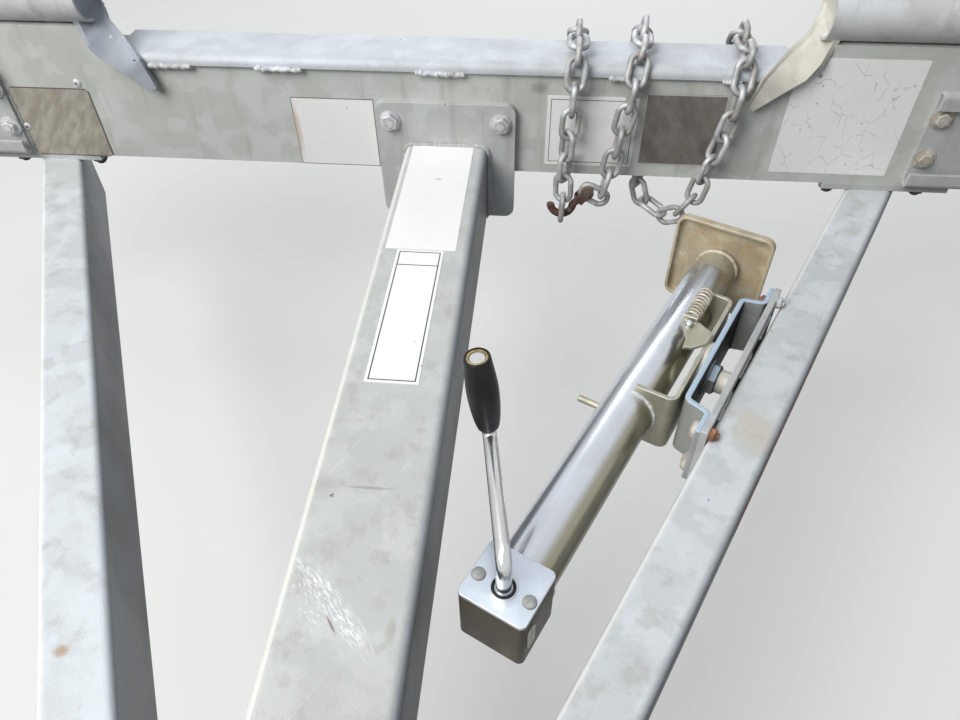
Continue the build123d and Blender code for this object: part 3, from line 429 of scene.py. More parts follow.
finishes = {
    "beamGalvanised": {
        "light": (0.66, 0.68, 0.66), "dark": (0.58, 0.60, 0.57), "stainDepth": 0.3, "runDepth": 0.3,
        "stain": (0.48, 0.48, 0.42), "edgeRadius": 0.0,
        "marks": [((0.112, -0.068, 0.043), (0.016, 0.02, 0.012), (0.22, 0.22, 0.21), 0.6)],
    },
    # The beam's top: lighter and bluer than its face, a painted sky reflection
    "capGalvanised": {
        "light": (0.70, 0.74, 0.80), "dark": (0.62, 0.66, 0.71), "runDepth": 0.1, "edgeDepth": 0.8,
    },
    "noseGalvanised": {
        "light": (0.74, 0.77, 0.79), "dark": (0.66, 0.68, 0.69), "stain": (0.46, 0.44, 0.39),
    },
    "plateGalvanised": {"light": (0.60, 0.63, 0.64), "dark": (0.53, 0.55, 0.56), "edgeDepth": 0.7},
    # The two gussets are one plate: the one facing +X is painted blue-grey shade, the one facing -X a cream
    # painted light
    "gussetPaintedShadeBlue": {
        "light": (0.42, 0.47, 0.56), "dark": (0.36, 0.40, 0.48), "edgeDepth": 0.7,
        "marks": [
            ((-0.3963, -0.070, 0.0876), (0.0025, 0.02, 0.0025), (0.85, 0.88, 0.9), 0.9),
            ((-0.3669, -0.078, 0.0670), (0.0035, 0.02, 0.0015), (0.03, 0.03, 0.03), 0.95),
            ((-0.3485, -0.080, 0.0345), (0.0016, 0.02, 0.0016), (0.03, 0.03, 0.03), 0.9),
        ],
    },
    "gussetPaintedLightCream": {
        "light": (0.76, 0.74, 0.66), "dark": (0.66, 0.64, 0.56), "edgeDepth": 0.4,
        "marks": [((0.3978, -0.060, 0.1095), (0.002, 0.02, 0.002), (0.12, 0.12, 0.10), 0.8)],
    },
    "tongueGalvanised": {
        "light": (0.60, 0.62, 0.61), "dark": (0.54, 0.56, 0.55), "scratchAmount": 0.7,
        # The tongue's sides carry painted shade and painted edge highlights
        "stainDepth": 0.22, "edgeRadius": 0.0, "sides": paintedSideShadeAndEdgeHighlights,
        "scuffs": [
            ((-0.0095, -0.668, -0.059), (0.056, 0.0105, 0.05), 0.80, 0.48, (0.90, 0.91, 0.92), 0.85),
            ((-0.027, -0.668, -0.059), (0.036, 0.010, 0.05), 0.95, 0.53, (0.88, 0.90, 0.91), 0.7),
            ((-0.0068, -0.683, -0.060), (0.010, 0.0012, 0.05), 0.95, 0.3, (0.22, 0.17, 0.15), 0.8),
        ],
        "marks": [
            ((0.0, -0.572, -0.054), (0.030, 0.0022, 0.05), (0.26, 0.26, 0.26), 0.6),
            ((0.0358, -0.684, -0.0598), (0.006, 0.014, 0.05), (0.36, 0.33, 0.28), 0.5),
        ],
    },
    "railGalvanised": {
        "light": (0.70, 0.74, 0.77), "dark": (0.61, 0.64, 0.66), "spangle": 0.026, "stainDepth": 0.2,
        # The rails' sides carry painted shade and painted edge highlights
        "edgeRadius": 0.0, "sides": paintedSideShadeAndEdgeHighlights,
        "marks": [
            ((-0.1948, -0.7115, -0.075), (0.009, 0.007, 0.02), (0.42, 0.29, 0.18), 0.8),
            ((0.320, -0.470, -0.075), (0.03, 0.04, 0.02), (0.60, 0.50, 0.34), 0.4),
        ],
    },
    "jackZinc": {
        "light": (0.76, 0.80, 0.88), "dark": (0.70, 0.73, 0.79), "metal": 0.85, "rough": (0.16, 0.26),
        "spangle": 0.05, "stain": (0.58, 0.58, 0.52), "stainDepth": 0.2, "runDepth": 0.0,
        "bump": 0.0002, "speckShare": 0.12, "speckSpacing": 0.02, "edgeRadius": 0.0,
        # Painted reflection and shade on the tube: an olive band on the side facing jackAcross and a dark
        # lower side
        "sides": [
            (tuple(jackAcross), 0.30, 0.62, (0.34, 0.31, 0.20), 0.85),
            (tuple(jackAcross * 0.7 - Vector((0, 0, 0.7))), 0.3, 0.85, (0.10, 0.095, 0.08), 0.9),
        ],
    },
    "hatZinc": {
        "light": (0.44, 0.46, 0.45), "dark": (0.34, 0.36, 0.35), "metal": 0.35,
        # Blue edges: a painted highlight
        "edge": (0.62, 0.74, 0.9), "edgeDepth": 0.85, "edgeRadius": 0.0024,
        # Painted shade, near black, on the side facing jackAcross, and a blue painted sky reflection on the
        # top
        "sides": [
            (tuple(jackAcross), 0.5, 0.9, (0.03, 0.035, 0.035), 0.92),
            ((0.0, 0.0, 1.0), 0.6, 0.9, (0.50, 0.62, 0.76), 0.85),
        ],
    },
    "baseZinc": {
        "light": (0.56, 0.58, 0.58), "dark": (0.46, 0.48, 0.48), "metal": 0.2,
        # Bluish edges: a painted highlight
        "edge": (0.72, 0.78, 0.86), "edgeDepth": 0.8, "edgeRadius": 0.002,
        # Painted shade, near black, on the side facing away from jackAcross
        "sides": [(tuple(-jackAcross), 0.5, 0.9, (0.03, 0.035, 0.035), 0.92)],
    },
    "discZinc": {"light": (0.82, 0.80, 0.72), "dark": (0.70, 0.68, 0.60), "metal": 0.1},
    "lockZinc": {
        "light": (0.52, 0.49, 0.38), "dark": (0.40, 0.38, 0.28), "metal": 0.5, "rough": (0.28, 0.4),
        "edge": (0.85, 0.88, 0.9), "edgeDepth": 0.85, "edgeRadius": 0.0016,
        # Painted shade on the undersides
        "sides": [((0.0, 0.0, -1.0), -0.2, 0.5, (0.12, 0.11, 0.09), 0.7)],
    },
    "headZinc": {
        "light": (0.075, 0.058, 0.036), "dark": (0.05, 0.038, 0.024), "metal": 0.1,
        "rough": (0.35, 0.5), "stain": (0.12, 0.10, 0.07), "edge": (0.5, 0.45, 0.36), "edgeDepth": 0.4,
        "runDepth": 0.1,
    },
    "coverZinc": {
        "light": (0.66, 0.71, 0.80), "dark": (0.56, 0.61, 0.69), "metal": 0.8, "rough": (0.22, 0.32),
        "edge": (0.9, 0.92, 0.95), "edgeDepth": 0.9, "stainDepth": 0.15, "bump": 0.0002,
        "runDepth": 0.0,
    },
    "footZinc": {
        "light": (0.66, 0.60, 0.45), "dark": (0.52, 0.46, 0.33), "metal": 0.2,
        "speck": (0.34, 0.15, 0.05), "speckShare": 0.6, "speckSpacing": 0.006, "speckRadius": 0.2,
        "speckDepth": 0.5, "edge": (0.90, 0.90, 0.87), "edgeDepth": 0.85, "edgeRadius": 0.0016,
        "stain": (0.44, 0.31, 0.16), "stainSize": 0.03, "stainDepth": 0.6,
    },
    "chainSteel": {
        "light": (0.62, 0.64, 0.66), "dark": (0.40, 0.40, 0.40), "metal": 0.35, "spangle": 0.012,
        "stain": (0.36, 0.31, 0.26), "stainSize": 0.03, "stainDepth": 0.4, "rough": (0.38, 0.55),
        # Painted shade on the undersides
        "edgeRadius": 0.0, "sides": [((0.0, 0.0, -1.0), 0.0, 0.8, (0.12, 0.11, 0.10), 0.6)],
    },
    "springSteel": {
        "light": (0.78, 0.76, 0.70), "dark": (0.52, 0.46, 0.36), "metal": 0.3, "spangle": 0.008,
        "edgeRadius": 0.0,
    },
    "boltZinc": {
        "light": (0.70, 0.72, 0.74), "dark": (0.52, 0.54, 0.56), "metal": 0.4, "edgeDepth": 0.7,
        "edgeRadius": 0.0006, "spangle": 0.01,
    },
    "boltTan": {
        "light": (0.64, 0.60, 0.53), "dark": (0.42, 0.37, 0.30), "metal": 0.25, "edgeRadius": 0.0006,
        "spangle": 0.008, "edgeDepth": 0.6,
    },
    # Dark brown: rust, and painted shade for bolts under the beam
    "boltDark": {
        "light": (0.16, 0.12, 0.10), "dark": (0.07, 0.055, 0.045), "metal": 0.0, "rough": (0.6, 0.85),
        "edge": (0.3, 0.26, 0.22), "edgeRadius": 0.0006, "spangle": 0.006, "scratchDepth": 0.1,
    },
    "boltRust": {
        "light": (0.46, 0.19, 0.08), "dark": (0.17, 0.065, 0.03), "metal": 0.0, "rough": (0.6, 0.85),
        "edge": (0.45, 0.25, 0.16), "edgeRadius": 0.0006, "spangle": 0.006, "scratchDepth": 0.1,
    },
    "rivetGrey": {
        "light": (0.40, 0.41, 0.41), "dark": (0.28, 0.29, 0.29), "metal": 0.6, "spangle": 0.004,
        "edgeRadius": 0.0,
    },
    "ringBrass": {
        "light": (0.42, 0.30, 0.12), "dark": (0.20, 0.13, 0.05), "metal": 0.8, "spangle": 0.004,
        "edgeRadius": 0.0,
    },
    "weldBright": {
        "light": (0.86, 0.89, 0.92), "dark": (0.62, 0.64, 0.65), "metal": 0.2, "spangle": 0.006,
        "edgeRadius": 0.0,
    },
    "weldGalvanised": {
        "light": (0.60, 0.62, 0.62), "dark": (0.48, 0.49, 0.49), "spangle": 0.008, "edgeRadius": 0.0,
    },
    "couplerSteel": {"light": (0.54, 0.56, 0.58), "dark": (0.46, 0.48, 0.50), "metal": 0.3},
    "hookRust": {
        "light": (0.14, 0.07, 0.05), "dark": (0.07, 0.035, 0.03), "metal": 0.0, "rough": (0.7, 0.9),
        "edge": (0.3, 0.18, 0.12), "scratchDepth": 0.1,
        "marks": [((0.155, -0.088, -0.105), (0.009, 0.01, 0.006), (0.55, 0.53, 0.5), 0.5)],
    },
    "tapeRed": {
        "light": (0.50, 0.03, 0.03), "dark": (0.36, 0.02, 0.02), "metal": 0.0, "edgeRadius": 0.0,
        "rough": (0.3, 0.45),
    },
}
materials = {name: finishMaterial(name, zincBasis, changes) for name, changes in finishes.items()}


chromeLook = {"bright": (0.78, 0.79, 0.80), "dull": (0.62, 0.62, 0.60), "dullSize": 0.03,
              "dullCover": 0.5, "pit": (0.28, 0.16, 0.08), "pitSpacing": 0.008, "pitRadius": 0.12,
              "pitShare": 0.25, "pitDepth": 0.6, "rough": (0.16, 0.34), "metal": 0.95,
              "edgeRadius": 0.0008, "bump": 0.0002}
gripLook = {"black": (0.006, 0.006, 0.0065), "dust": (0.018, 0.017, 0.016), "dustSize": 0.02,
            "dustCover": 0.45, "grain": 900.0, "rough": (0.38, 0.52), "specular": 0.3, "bump": 0.0002,
            "bumpStrength": 0.3}


def chromeMaterial(look):
    material, tree, shader, place = newMaterial("crankChrome")
    dull = useGroup(tree, "grimePatches", Vector=place, Size=look["dullSize"], Cover=look["dullCover"],
                    Edge=0.2)
    pits = useGroup(tree, "scatteredSpecks", Vector=place, Spacing=look["pitSpacing"],
                    Radius=look["pitRadius"], Share=look["pitShare"])
    colour = mixColour(tree, dull["Mask"], look["bright"], look["dull"])
    colour = tintBy(tree, pits["Mask"], look["pitDepth"], colour, look["pit"])
    feed(tree, shader.inputs["Base Color"], colour)
    feed(tree, shader.inputs["Roughness"], rangeNode(tree, dull["Mask"], 0.0, 1.0, *look["rough"]))
    shader.inputs["Metallic"].default_value = look["metal"]
    rounded = useGroup(tree, "edgeWear", Radius=look["edgeRadius"])
    addBump(tree, shader, pits["Mask"], look["bump"], normal=rounded["Normal"])
    return material


def gripMaterial(look):
    material, tree, shader, place = newMaterial("gripPlastic")
    dust = useGroup(tree, "grimePatches", Vector=place, Size=look["dustSize"], Cover=look["dustCover"],
                    Edge=0.2)
    grain = noiseNode(tree, place, look["grain"], 3.0)
    feed(tree, shader.inputs["Base Color"], mixColour(tree, dust["Mask"], look["black"], look["dust"]))
    shader.inputs["Specular IOR Level"].default_value = look["specular"]
    feed(tree, shader.inputs["Roughness"], rangeNode(tree, grain, 0.3, 0.7, *look["rough"]))
    addBump(tree, shader, grain, look["bump"], look["bumpStrength"])
    return material


materials["crankChrome"] = chromeMaterial(chromeLook)
materials["gripPlastic"] = gripMaterial(gripLook)

# Which finish each carried-over node wears
wears = {
    "beamGalvanised": ["crossbeam", "beam_face", "track_riser_left", "track_riser_right"],
    "capGalvanised": ["beam_cap"],
    "noseGalvanised": ["track_nose_left", "track_nose_right"],
    # Gussets: painted shade on the right one, painted light on the left one
    "gussetPaintedShadeBlue": ["gusset_right"],
    "gussetPaintedLightCream": ["gusset_left"],
    "plateGalvanised": ["face_bracket_left", "face_bracket_right", "tongue_flange",
                        "rail_pad_left", "rail_pad_right", "chain_eye"],
    "tongueGalvanised": ["tongue"],
    "railGalvanised": ["rail_left", "rail_right"],
    "jackZinc": ["jack_tube", "latch_pin"],
    "lockZinc": ["jack_leg", "pull_rod", "jack_channel", "lock_plate"],
    "discZinc": ["swivel_pin"],
    "springSteel": ["lock_spring"],
    "hatZinc": ["jack_hat_bracket"],
    "baseZinc": ["jack_base_plate"],
    "headZinc": ["jack_head"],
    "coverZinc": ["jack_cover"],
    "footZinc": ["jack_foot"],
    "chainSteel": ["safety_chain_front", "safety_chain_side"],
    "couplerSteel": ["coupler_body", "coupler_latch"],
    "hookRust": ["chain_hook"],
    "crankChrome": ["crank_rod"],
    "gripPlastic": ["crank_grip"],
}
for finish, names in wears.items():
    for name in names:
        for holder in nodes[name].material_slots:
            holder.material = materials[finish]
print("materials:", len(materials))


# Studio: pale floor, a key light from the upper left front, a broad one above and a low one behind.
# Each lamp: name, place, size, power, colour
studio = {
    "floorHeight": -0.42, "floorSize": 40.0, "floorShown": (0.40, 0.40, 0.395), "floorGlow": 1.05,
    "floorBounce": (0.10, 0.10, 0.10),
    "worldShown": (0.80, 0.81, 0.82), "worldLight": (0.72, 0.80, 0.90), "worldStrength": 0.12,
    "lamps": [
        ("keyLamp", (-1.6, -2.1, 2.2), 2.0, 112.0, (1.0, 0.985, 0.96)),
        ("skyLamp", (-0.6, -0.3, 2.9), 2.0, 27.0, (0.90, 0.95, 1.0)),
        ("rearLamp", (0.2, 2.7, 0.9), 2.0, 34.0, (0.93, 0.96, 1.0)),
    ],
    "target": (0.05, -0.45, -0.05),
}


def seenDirectly(tree):
    path = addNode(tree, "ShaderNodeLightPath").outputs
    both = mathNode(tree, "MAXIMUM", path["Is Camera Ray"], path["Is Glossy Ray"])
    return mathNode(tree, "MAXIMUM", both, path["Is Transmission Ray"])


def makeStudio(look):
    world = bpy.data.worlds.new("studioWorld")
    bpy.context.scene.world = world
    world.use_nodes = True
    tree = world.node_tree
    shown = tree.nodes["Background"]
    shown.inputs[0].default_value = (*look["worldShown"], 1.0)
    light = addNode(tree, "ShaderNodeBackground")
    light.inputs[0].default_value = (*look["worldLight"], 1.0)
    light.inputs[1].default_value = look["worldStrength"]
    mixed = addNode(tree, "ShaderNodeMixShader")
    feed(tree, mixed.inputs[0], seenDirectly(tree))
    feed(tree, mixed.inputs[1], light.outputs[0])
    feed(tree, mixed.inputs[2], shown.outputs[0])
    feed(tree, tree.nodes["World Output"].inputs[0], mixed.outputs[0])
    for name, place, size, power, colour in look["lamps"]:
        lamp = bpy.data.lights.new(name, "AREA")
        lamp.energy = power
        lamp.size = size
        lamp.color = colour
        holder = bpy.data.objects.new(name, lamp)
        holder.location = place
        holder.rotation_euler = (Vector(look["target"]) - Vector(place)).to_track_quat("-Z", "Y").to_euler()
        bpy.context.scene.collection.objects.link(holder)
    mesh = bpy.data.meshes.new("studioFloor")
    half = look["floorSize"] / 2
    height = look["floorHeight"]
    corners = [(x * half, y * half, height) for x, y in ((-1, -1), (1, -1), (1, 1), (-1, 1))]
    mesh.from_pydata(corners, [], [(0, 1, 2, 3)])
    floor = bpy.data.objects.new("studioFloor", mesh)
    bpy.context.scene.collection.objects.link(floor)
    material, tree, shader, place = newMaterial("floorPaint")
    paint = mixColour(tree, seenDirectly(tree), look["floorBounce"], look["floorShown"])
    mottle = rangeNode(tree, noiseNode(tree, place, 3.0, 4.0), 0.2, 0.8, 0.0, 0.04)
    feed(tree, shader.inputs["Base Color"], mixColour(tree, mottle, paint, (0.5, 0.5, 0.5)))
    shader.inputs["Emission Color"].default_value = (*look["floorShown"], 1.0)
    glow = mathNode(tree, "MULTIPLY", seenDirectly(tree), look["floorGlow"])
    feed(tree, shader.inputs["Emission Strength"], glow)
    shader.inputs["Roughness"].default_value = 0.8
    shader.inputs["Specular IOR Level"].default_value = 0.1
    mesh.materials.append(material)


makeStudio(studio)
print("studio: floor,", len(studio["lamps"]), "lamps")

# Geometry trees: each copies or sweeps one small form, with its sizes as named inputs
def realised(tree, shape, finish, result):
    real = addNode(tree, "GeometryNodeRealizeInstances")
    feed(tree, real.inputs[0], shape)
    painted = addNode(tree, "GeometryNodeSetMaterial")
    feed(tree, painted.inputs["Geometry"], real.outputs[0])
    feed(tree, painted.inputs["Material"], finish)
    feed(tree, result["Mesh"], painted.outputs[0])


def placedTree(name, sizes, makeOne):
    tree, given, result = newGroup(name, [("Places", "Geometry", None), *sizes, finishInput],
                                   [("Mesh", "Geometry")], "GeometryNodeTree")
    turn = addNode(tree, "GeometryNodeInputNamedAttribute", data_type="FLOAT_VECTOR")
    turn.inputs["Name"].default_value = "turn"
    facing = addNode(tree, "FunctionNodeEulerToRotation")
    feed(tree, facing.inputs[0], turn.outputs[0])
    spread = addNode(tree, "GeometryNodeInstanceOnPoints")
    feed(tree, spread.inputs["Points"], given["Places"])
    feed(tree, spread.inputs["Instance"], makeOne(tree, given))
    feed(tree, spread.inputs["Rotation"], facing.outputs[0])
    realised(tree, spread.outputs[0], given["Finish"], result)


def scaledForm(tree, shape, wide, high, lift=None):
    size = addNode(tree, "ShaderNodeCombineXYZ")
    for socket, given in zip(size.inputs, (wide, wide, high)):
        feed(tree, socket, given)
    moved = addNode(tree, "GeometryNodeTransform")
    feed(tree, moved.inputs["Geometry"], shape)
    feed(tree, moved.inputs["Scale"], size.outputs[0])
    if lift is not None:
        raised = addNode(tree, "ShaderNodeCombineXYZ")
        feed(tree, raised.inputs[2], lift)
        feed(tree, moved.inputs["Translation"], raised.outputs[0])
    return moved.outputs[0]


# A turned or hexagonal form from rows of height and radius, both as shares of its own size
def stackedForm(tree, sides, rows):
    joined = addNode(tree, "GeometryNodeJoinGeometry")
    for (low, lowRadius), (high, highRadius) in zip(rows, rows[1:]):
        ring = addNode(tree, "GeometryNodeMeshCone", fill_type="NONE")
        for label, value in (("Vertices", sides), ("Radius Bottom", lowRadius), ("Radius Top", highRadius),
                             ("Depth", max(high - low, 0.0001))):
            ring.inputs[label].default_value = value
        moved = addNode(tree, "GeometryNodeTransform")
        moved.inputs["Translation"].default_value = (0.0, 0.0, low)
        feed(tree, moved.inputs["Geometry"], ring.outputs["Mesh"])
        feed(tree, joined.inputs[0], moved.outputs[0])
    merged = addNode(tree, "GeometryNodeMergeByDistance")
    merged.inputs["Distance"].default_value = 0.0005
    feed(tree, merged.inputs["Geometry"], joined.outputs[0])
    return merged.outputs[0]


washerRows = [(0.0, 0.0), (0.0, 0.98), (0.15, 1.0), (0.85, 1.0), (1.0, 0.95), (1.0, 0.0)]
hexRows = [(0.0, 0.0), (0.0, 1.0), (0.8, 1.0), (1.0, 0.86), (1.0, 0.62), (0.93, 0.56), (0.93, 0.0)]
roundRows = [(0.0, 0.0), (0.0, 1.0), (0.3, 1.0), (0.62, 0.93), (0.88, 0.7), (1.0, 0.38), (1.0, 0.0)]
blindRows = [(0.0, 0.0), (0.0, 1.0), (0.35, 0.98), (0.8, 0.72), (1.0, 0.4), (0.9, 0.32), (0.35, 0.3),
             (0.35, 0.0)]
threadTurns = [(0.06 * k, 0.92 + 0.08 * (k % 2)) for k in range(1, 15)]
threadRows = [(0.0, 0.92), *threadTurns, (1.0, 0.75), (1.0, 0.0)]


def hexBoltForm(tree, given):
    washer = scaledForm(tree, stackedForm(tree, 32, washerRows), given["Washer"], given["Washer Height"])
    head = scaledForm(tree, stackedForm(tree, 6, hexRows), given["Head"], given["Height"],
                      given["Washer Height"])
    bothHeights = mathNode(tree, "ADD", given["Height"], given["Washer Height"])
    stud = scaledForm(tree, stackedForm(tree, 16, threadRows), given["Stud"], given["Stud Height"],
                      bothHeights)
    joined = addNode(tree, "GeometryNodeJoinGeometry")
    for shape in (washer, head, stud):
        feed(tree, joined.inputs[0], shape)
    return joined.outputs[0]


def domeForm(rows):
    return lambda tree, given: scaledForm(tree, stackedForm(tree, 24, rows), given["Radius"],
                                          given["Height"])


def coilForm(tree, given):
    spiral = addNode(tree, "GeometryNodeCurveSpiral")
    spiral.inputs["Resolution"].default_value = 20
    for label, source in (("Rotations", "Turns"), ("Start Radius", "Radius"), ("End Radius", "Radius"),
                          ("Height", "Length")):
        feed(tree, spiral.inputs[label], given[source])
    return sweptWire(tree, spiral.outputs[0], given["Wire"], 8)


def sweptWire(tree, path, thickness, sides):
    round_ = addNode(tree, "GeometryNodeCurvePrimitiveCircle", mode="RADIUS")
    round_.inputs["Resolution"].default_value = sides
    feed(tree, round_.inputs["Radius"], mathNode(tree, "MULTIPLY", thickness, 0.5))
    swept = addNode(tree, "GeometryNodeCurveToMesh")
    feed(tree, swept.inputs["Curve"], path)
    feed(tree, swept.inputs["Profile Curve"], round_.outputs["Curve"])
    swept.inputs["Fill Caps"].default_value = True
    return swept.outputs[0]


def linkForm(tree, given):
    across = mathNode(tree, "SUBTRACT", given["Width"], given["Wire"])
    outline = addNode(tree, "GeometryNodeCurvePrimitiveQuadrilateral", mode="RECTANGLE")
    feed(tree, outline.inputs["Width"], mathNode(tree, "SUBTRACT", given["Length"], given["Wire"]))
    feed(tree, outline.inputs["Height"], across)
    rounded = addNode(tree, "GeometryNodeFilletCurve", mode="POLY")
    rounded.inputs["Count"].default_value = 7
    feed(tree, rounded.inputs["Curve"], outline.outputs[0])
    feed(tree, rounded.inputs["Radius"], mathNode(tree, "MULTIPLY", across, 0.497))
    return sweptWire(tree, rounded.outputs[0], given["Wire"], 12)


def makeWeldTree():
    tree, given, result = newGroup("weldBead",
                                   [("Path", "Geometry", None), ("Width", "Float", 0.006),
                                    ("Pitch", "Float", 0.0028), ("Seed", "Int", 3), finishInput],
                                   [("Mesh", "Geometry")], "GeometryNodeTree")
    path = addNode(tree, "GeometryNodeMeshToCurve")
    feed(tree, path.inputs[0], given["Path"])
    beads = addNode(tree, "GeometryNodeCurveToPoints", mode="LENGTH")
    feed(tree, beads.inputs["Curve"], path.outputs[0])
    feed(tree, beads.inputs["Length"], given["Pitch"])
    ripple = addNode(tree, "GeometryNodeMeshUVSphere")
    ripple.inputs["Segments"].default_value = 10
    ripple.inputs["Rings"].default_value = 6
    ripple.inputs["Radius"].default_value = 0.5
    overlap = mathNode(tree, "MULTIPLY", given["Pitch"], 1.9)
    bead = scaledForm(tree, ripple.outputs["Mesh"], given["Width"], overlap)
    uneven = addNode(tree, "FunctionNodeRandomValue", data_type="FLOAT")
    uneven.inputs[2].default_value = 0.82
    uneven.inputs[3].default_value = 1.12
    feed(tree, uneven.inputs["Seed"], given["Seed"])
    spread = addNode(tree, "GeometryNodeInstanceOnPoints")
    feed(tree, spread.inputs["Points"], beads.outputs["Points"])
    feed(tree, spread.inputs["Instance"], bead)
    feed(tree, spread.inputs["Rotation"], beads.outputs["Rotation"])
    feed(tree, spread.inputs["Scale"], uneven.outputs[1])
    realised(tree, spread.outputs[0], given["Finish"], result)


placedTree("hexBolt",
           [("Washer", "Float", 0.012), ("Washer Height", "Float", 0.002), ("Head", "Float", 0.009),
            ("Height", "Float", 0.006), ("Stud", "Float", 0.004), ("Stud Height", "Float", 0.0005)],
           hexBoltForm)
for treeName, rows in (("roundHead", roundRows), ("blindRivet", blindRows)):
    placedTree(treeName, [("Radius", "Float", 0.006), ("Height", "Float", 0.003)], domeForm(rows))
placedTree("springCoil", [("Radius", "Float", 0.007), ("Wire", "Float", 0.0022), ("Length", "Float", 0.05),
                          ("Turns", "Float", 9.0)], coilForm)
placedTree("chainLink",
           [("Length", "Float", 0.043), ("Width", "Float", 0.0265), ("Wire", "Float", 0.007)], linkForm)
makeWeldTree()


# Plain meshes that the trees start from: points with a turn, and paths of short edges
def placesMesh(name, places):
    mesh = bpy.data.meshes.new(name)
    mesh.from_pydata([place.translation for place in places], [], [])
    turns = mesh.attributes.new("turn", "FLOAT_VECTOR", "POINT")
    for item, place in zip(turns.data, places):
        item.vector = place.to_euler()
    return mesh


def pathsMesh(name, paths):
    corners, edges = [], []
    for path in paths:
        edges += [(len(corners) + k, len(corners) + k + 1) for k in range(len(path) - 1)]
        corners += path
    mesh = bpy.data.meshes.new(name)
    mesh.from_pydata(corners, edges, [])
    return mesh


def placeFacing(point, outward, spin=0.0):
    turned = Vector(outward).to_track_quat("Z", "Y").to_matrix().to_4x4()
    return Matrix.Translation(point) @ turned @ Matrix.Rotation(spin, 4, "Z")


def settle(piece, body, replaced=(), sharpAngle=35.0):
    piece.data.shade_smooth()
    piece.data.set_sharp_from_angle(angle=math.radians(sharpAngle))
    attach(piece, body)
    if replaced:
        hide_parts(*replaced)


def newPiece(name, mesh):
    piece = bpy.data.objects.new(name, mesh)
    bpy.context.scene.collection.objects.link(piece)
    return piece


def growPiece(name, mesh, treeName, body, finish, sizes, replaced=()):
    piece = newPiece(name, mesh)
    tree = bpy.data.node_groups[treeName]
    modifier = piece.modifiers.new("grow", "NODES")
    modifier.node_group = tree
    sockets = {item.name: item.identifier for item in tree.interface.items_tree if item.in_out == "INPUT"}
    for label, value in {**sizes, "Finish": materials[finish]}.items():
        modifier[sockets[label]] = value
    solid = bpy.data.meshes.new_from_object(piece.evaluated_get(bpy.context.evaluated_depsgraph_get()))
    piece.modifiers.clear()
    piece.data = solid
    settle(piece, body, replaced)


def inJack(x, y, z):
    return jackPlace @ Vector((x / 1000, y / 1000, z / 1000))


# Bolts and rivets: their places as matrices that look outward
def growBolts(name, places, finish, sizes, treeName="hexBolt", body="frame"):
    growPiece(name, placesMesh(name, places), treeName, body, finish, sizes)


flangeBolts = {"x": 0.0675, "z": 0.0015, "face": beamFace - 0.010,
               "sizes": {"Washer": 0.0128, "Washer Height": 0.0022, "Head": 0.0108, "Height": 0.0062,
                         "Stud": 0.006, "Stud Height": 0.0006}}
growBolts("flangeBolts", [
    placeFacing((side * flangeBolts["x"], flangeBolts["face"], flangeBolts["z"]), front, 0.3 + side)
    for side in (-1, 1)], "boltZinc", flangeBolts["sizes"])

bracketBolts = {"x": 0.569, "heights": (0.0241, -0.0265), "face": beamFace - 0.004,
                "sizes": {"Washer": 0.0132, "Washer Height": 0.0020, "Head": 0.0090, "Height": 0.0070,
                          "Stud": 0.0050, "Stud Height": 0.0008}}
for side, pieceName, finish in ((-1, "bracketBoltsRight", "boltZinc"), (1, "bracketBoltsLeft", "boltTan")):
    growBolts(pieceName, [
        placeFacing((side * bracketBolts["x"], bracketBolts["face"], height), front, 0.2 + side * 9 * height)
        for height in bracketBolts["heights"]], finish, bracketBolts["sizes"])

# Pad bolts face down under the beam; their dark finish holds painted shade as well as rust
padBolts = {"places": (0.480, 0.588), "y": -0.050, "z": -0.075,
            "sizes": {"Washer": 0.0125, "Washer Height": 0.0022, "Head": 0.0100, "Height": 0.0068,
                      "Stud": 0.0055, "Stud Height": 0.0040}}
growBolts("padBolts", [
    placeFacing((side * x, padBolts["y"], padBolts["z"]), (0, 0, -1), x * 7)
    for side in (-1, 1) for x in padBolts["places"]], "boltDark", padBolts["sizes"])

couplerBolts = {"y": (0.045, 0.115), "x": 0.0571, "z": 0.012,
                "sizes": {"Washer": 0.0135, "Washer Height": 0.0024, "Head": 0.0112, "Height": 0.0074,
                          "Stud": 0.0063, "Stud Height": 0.0050}}
growBolts("couplerBolts", [
    couplerPlace @ placeFacing((side * couplerBolts["x"], y, couplerBolts["z"]), (side, 0, 0), y * 9)
    for side in (-1, 1) for y in couplerBolts["y"]], "boltZinc", couplerBolts["sizes"])

# Jack bracket: round heads on the hat's flanges, nuts behind them (mm in the jack frame)
hatBolts = {"x": 67.9, "clean": ((-90, 23), (-88, -26), (105, -26)), "rusty": ((106, 24),),
            "sizes": {"Radius": 0.0092, "Height": 0.0062}}
for pieceName, key, slotName, finish in (("hatBoltHeads", "clean", "zinc_plate", "boltTan"),
                                         ("hatRustyHead", "rusty", "rusted_steel", "boltRust")):
    growBolts(pieceName, [placeFacing(inJack(hatBolts["x"], *spot), -jackAcross) for spot in hatBolts[key]],
              finish, hatBolts["sizes"], "roundHead")

hatNuts = {"x": 78.9, "z": 30.5, "front": -96, "rear": 108,
           "sizes": {"Washer": 0.0066, "Washer Height": 0.0012, "Head": 0.0064, "Height": 0.0046,
                     "Stud": 0.0036, "Stud Height": 0.0028}}
for pieceName, key, slotName, finish in (("hatNutFront", "front", "rusted_steel", "boltRust"),
                                         ("hatNutRear", "rear", "zinc_plate", "plateGalvanised")):
    y = hatNuts[key]
    growBolts(pieceName, [placeFacing(inJack(hatNuts["x"], y, hatNuts["z"]), jackAcross, y)], finish,
              hatNuts["sizes"])

